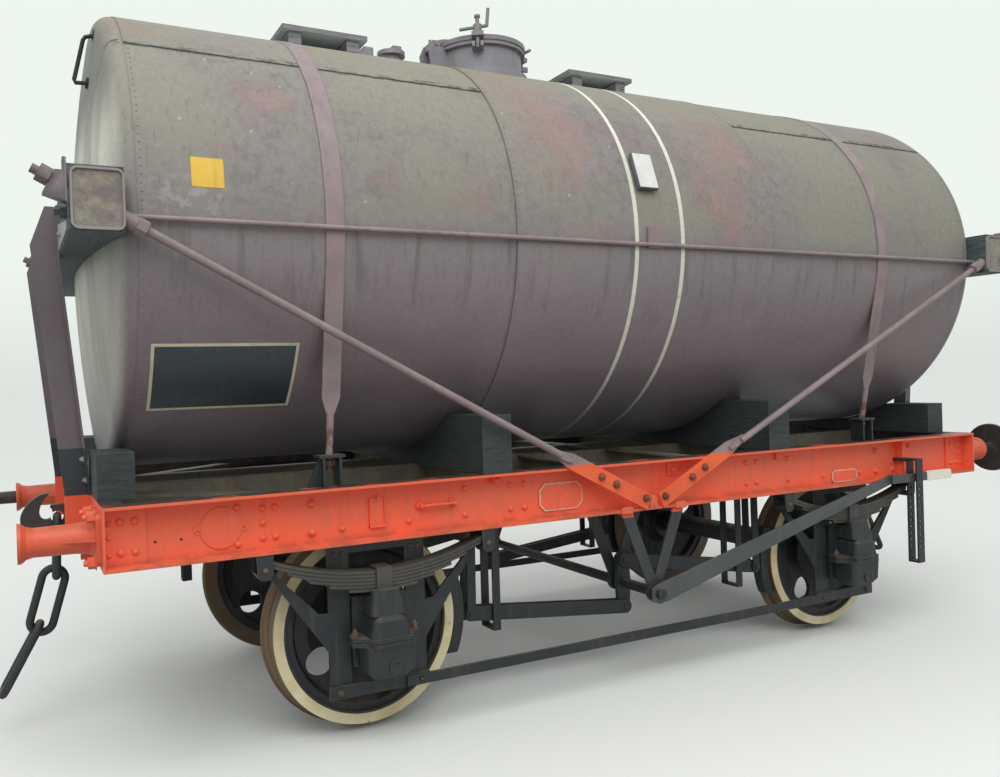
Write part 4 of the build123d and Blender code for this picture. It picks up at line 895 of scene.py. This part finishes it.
def post_feet():
    """The red foot of each post, carried straight down over the headstock's face."""
    feet = Shape("post_feet", "post_paint", bevel=0.002)
    for end in (-1, 1):
        for side in (-1, 1):
            outline = [(2.824, 1.004), (2.9315, 1.004), (2.9320, 1.252), (2.826, 1.252)]
            feet.prism([(end * x, side * POST_Y - 0.0075, z) for x, z in outline], (0, 0.015, 0))
    feet.done()


def couplings():
    """Three smooth links at each end, in the place of the plainer ones."""
    for end, node in ((-1, "coupling_left"), (1, "coupling_right")):
        chain = Shape(node + "_links", "running_black")
        for x, z, low_x, low_z, half, wide in LINKS:
            chain.ring((end * (HALF_FRAME + x), 0, z), (end * (HALF_FRAME + low_x), 0, low_z), half, wide, LINK_BAR)
        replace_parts(chain.done(), node)


def running_gear_fittings():
    """Bolts of the axleboxes and keeps, rivets of the guards and shoes, lugs of the hangers, plugs of the sumps."""
    old = Shape("gear_bolts", "old_bolt")
    for side in (-1, 1):
        for end in (-1, 1):
            axle_x = end * AXLE_X
            for x in (-0.150, 0.150):
                old.bolt((axle_x + x, side * 1.028, 0.528), (0, 0, 1), 0.017, 0.024)
            for x in (-0.205, 0.205):
                old.bolt((axle_x + x, side * GUARD_Y, 0.260), (0, side, 0), 0.015, 0.014)
            for x in (-0.215, -0.175, 0.175, 0.215):
                for z in (0.80, 0.90):
                    old.rivet((axle_x + x, side * 0.950, z), (0, side, 0), 0.012, 0.009)
    lugs = Shape("hanger_lugs", "frame_red", bevel=0.003)
    for side in (-1, 1):
        for x in (-0.186, 0.186):
            outline = [(x - 0.040, 0.946), (x + 0.040, 0.946), (x + 0.040, 0.976), (x + 0.030, 0.984),
                       (x - 0.030, 0.984), (x - 0.040, 0.976)]
            lugs.prism([(a, side * 1.0505, z) for a, z in outline], (0, side * 0.006, 0))
        lugs.prism([(-0.036, side * 1.003, 0.960), (0.036, side * 1.003, 0.960), (0.012, side * 1.003, 1.030),
                    (-0.012, side * 1.003, 1.030)], (0, side * 0.046, 0))
    lugs.done()
    for side in (-1, 1):
        for end in (-1, 1):
            for x in (-0.560, 0.560):
                old.rivet((end * AXLE_X + x, side * 1.0435, 0.885), (0, side, 0), 0.014, 0.012)
    drains = Shape("sump_plugs", "running_black")
    for side in (-1, 1):
        for end in (-1, 1):
            drains.turned((end * AXLE_X + 0.012, side * 1.124, 0.392), (0, side, 0),
                          [(-0.002, 0.036), (0.006, 0.036), (0.008, 0.030), (0.0081, 0.026), (0.006, 0.022)], 24)
    drains.done()
    old.done()


# Nodes that take another finish than their slot's
OWN_FINISH = {
    "leaf_springs": "spring_iron",
    "buffer_casing_empty": "casing_red",
    "buffer_casings": "casing_red",
    "manhole_neck": "fitting_paint",
    "manhole_lid": "fitting_paint",
    "relief_valve": "fitting_paint",
    "lid_clamps": "fitting_paint",
    "v_hangers": "hanger_paint",
}

make_camera()
make_light()
make_stage()
materials = make_materials()

for entry in frame["record"]["subparts"]:
    node = frame["nodes"][entry["node"]]
    for slot in node.material_slots:
        slot.material = materials[OWN_FINISH.get(entry["node"], entry["material_slot"])]

solebar_rivets()
palm_bolts()
solebar_plates()
tank_plates()
tank_markings()
end_fittings()
post_feet()
couplings()
running_gear_fittings()
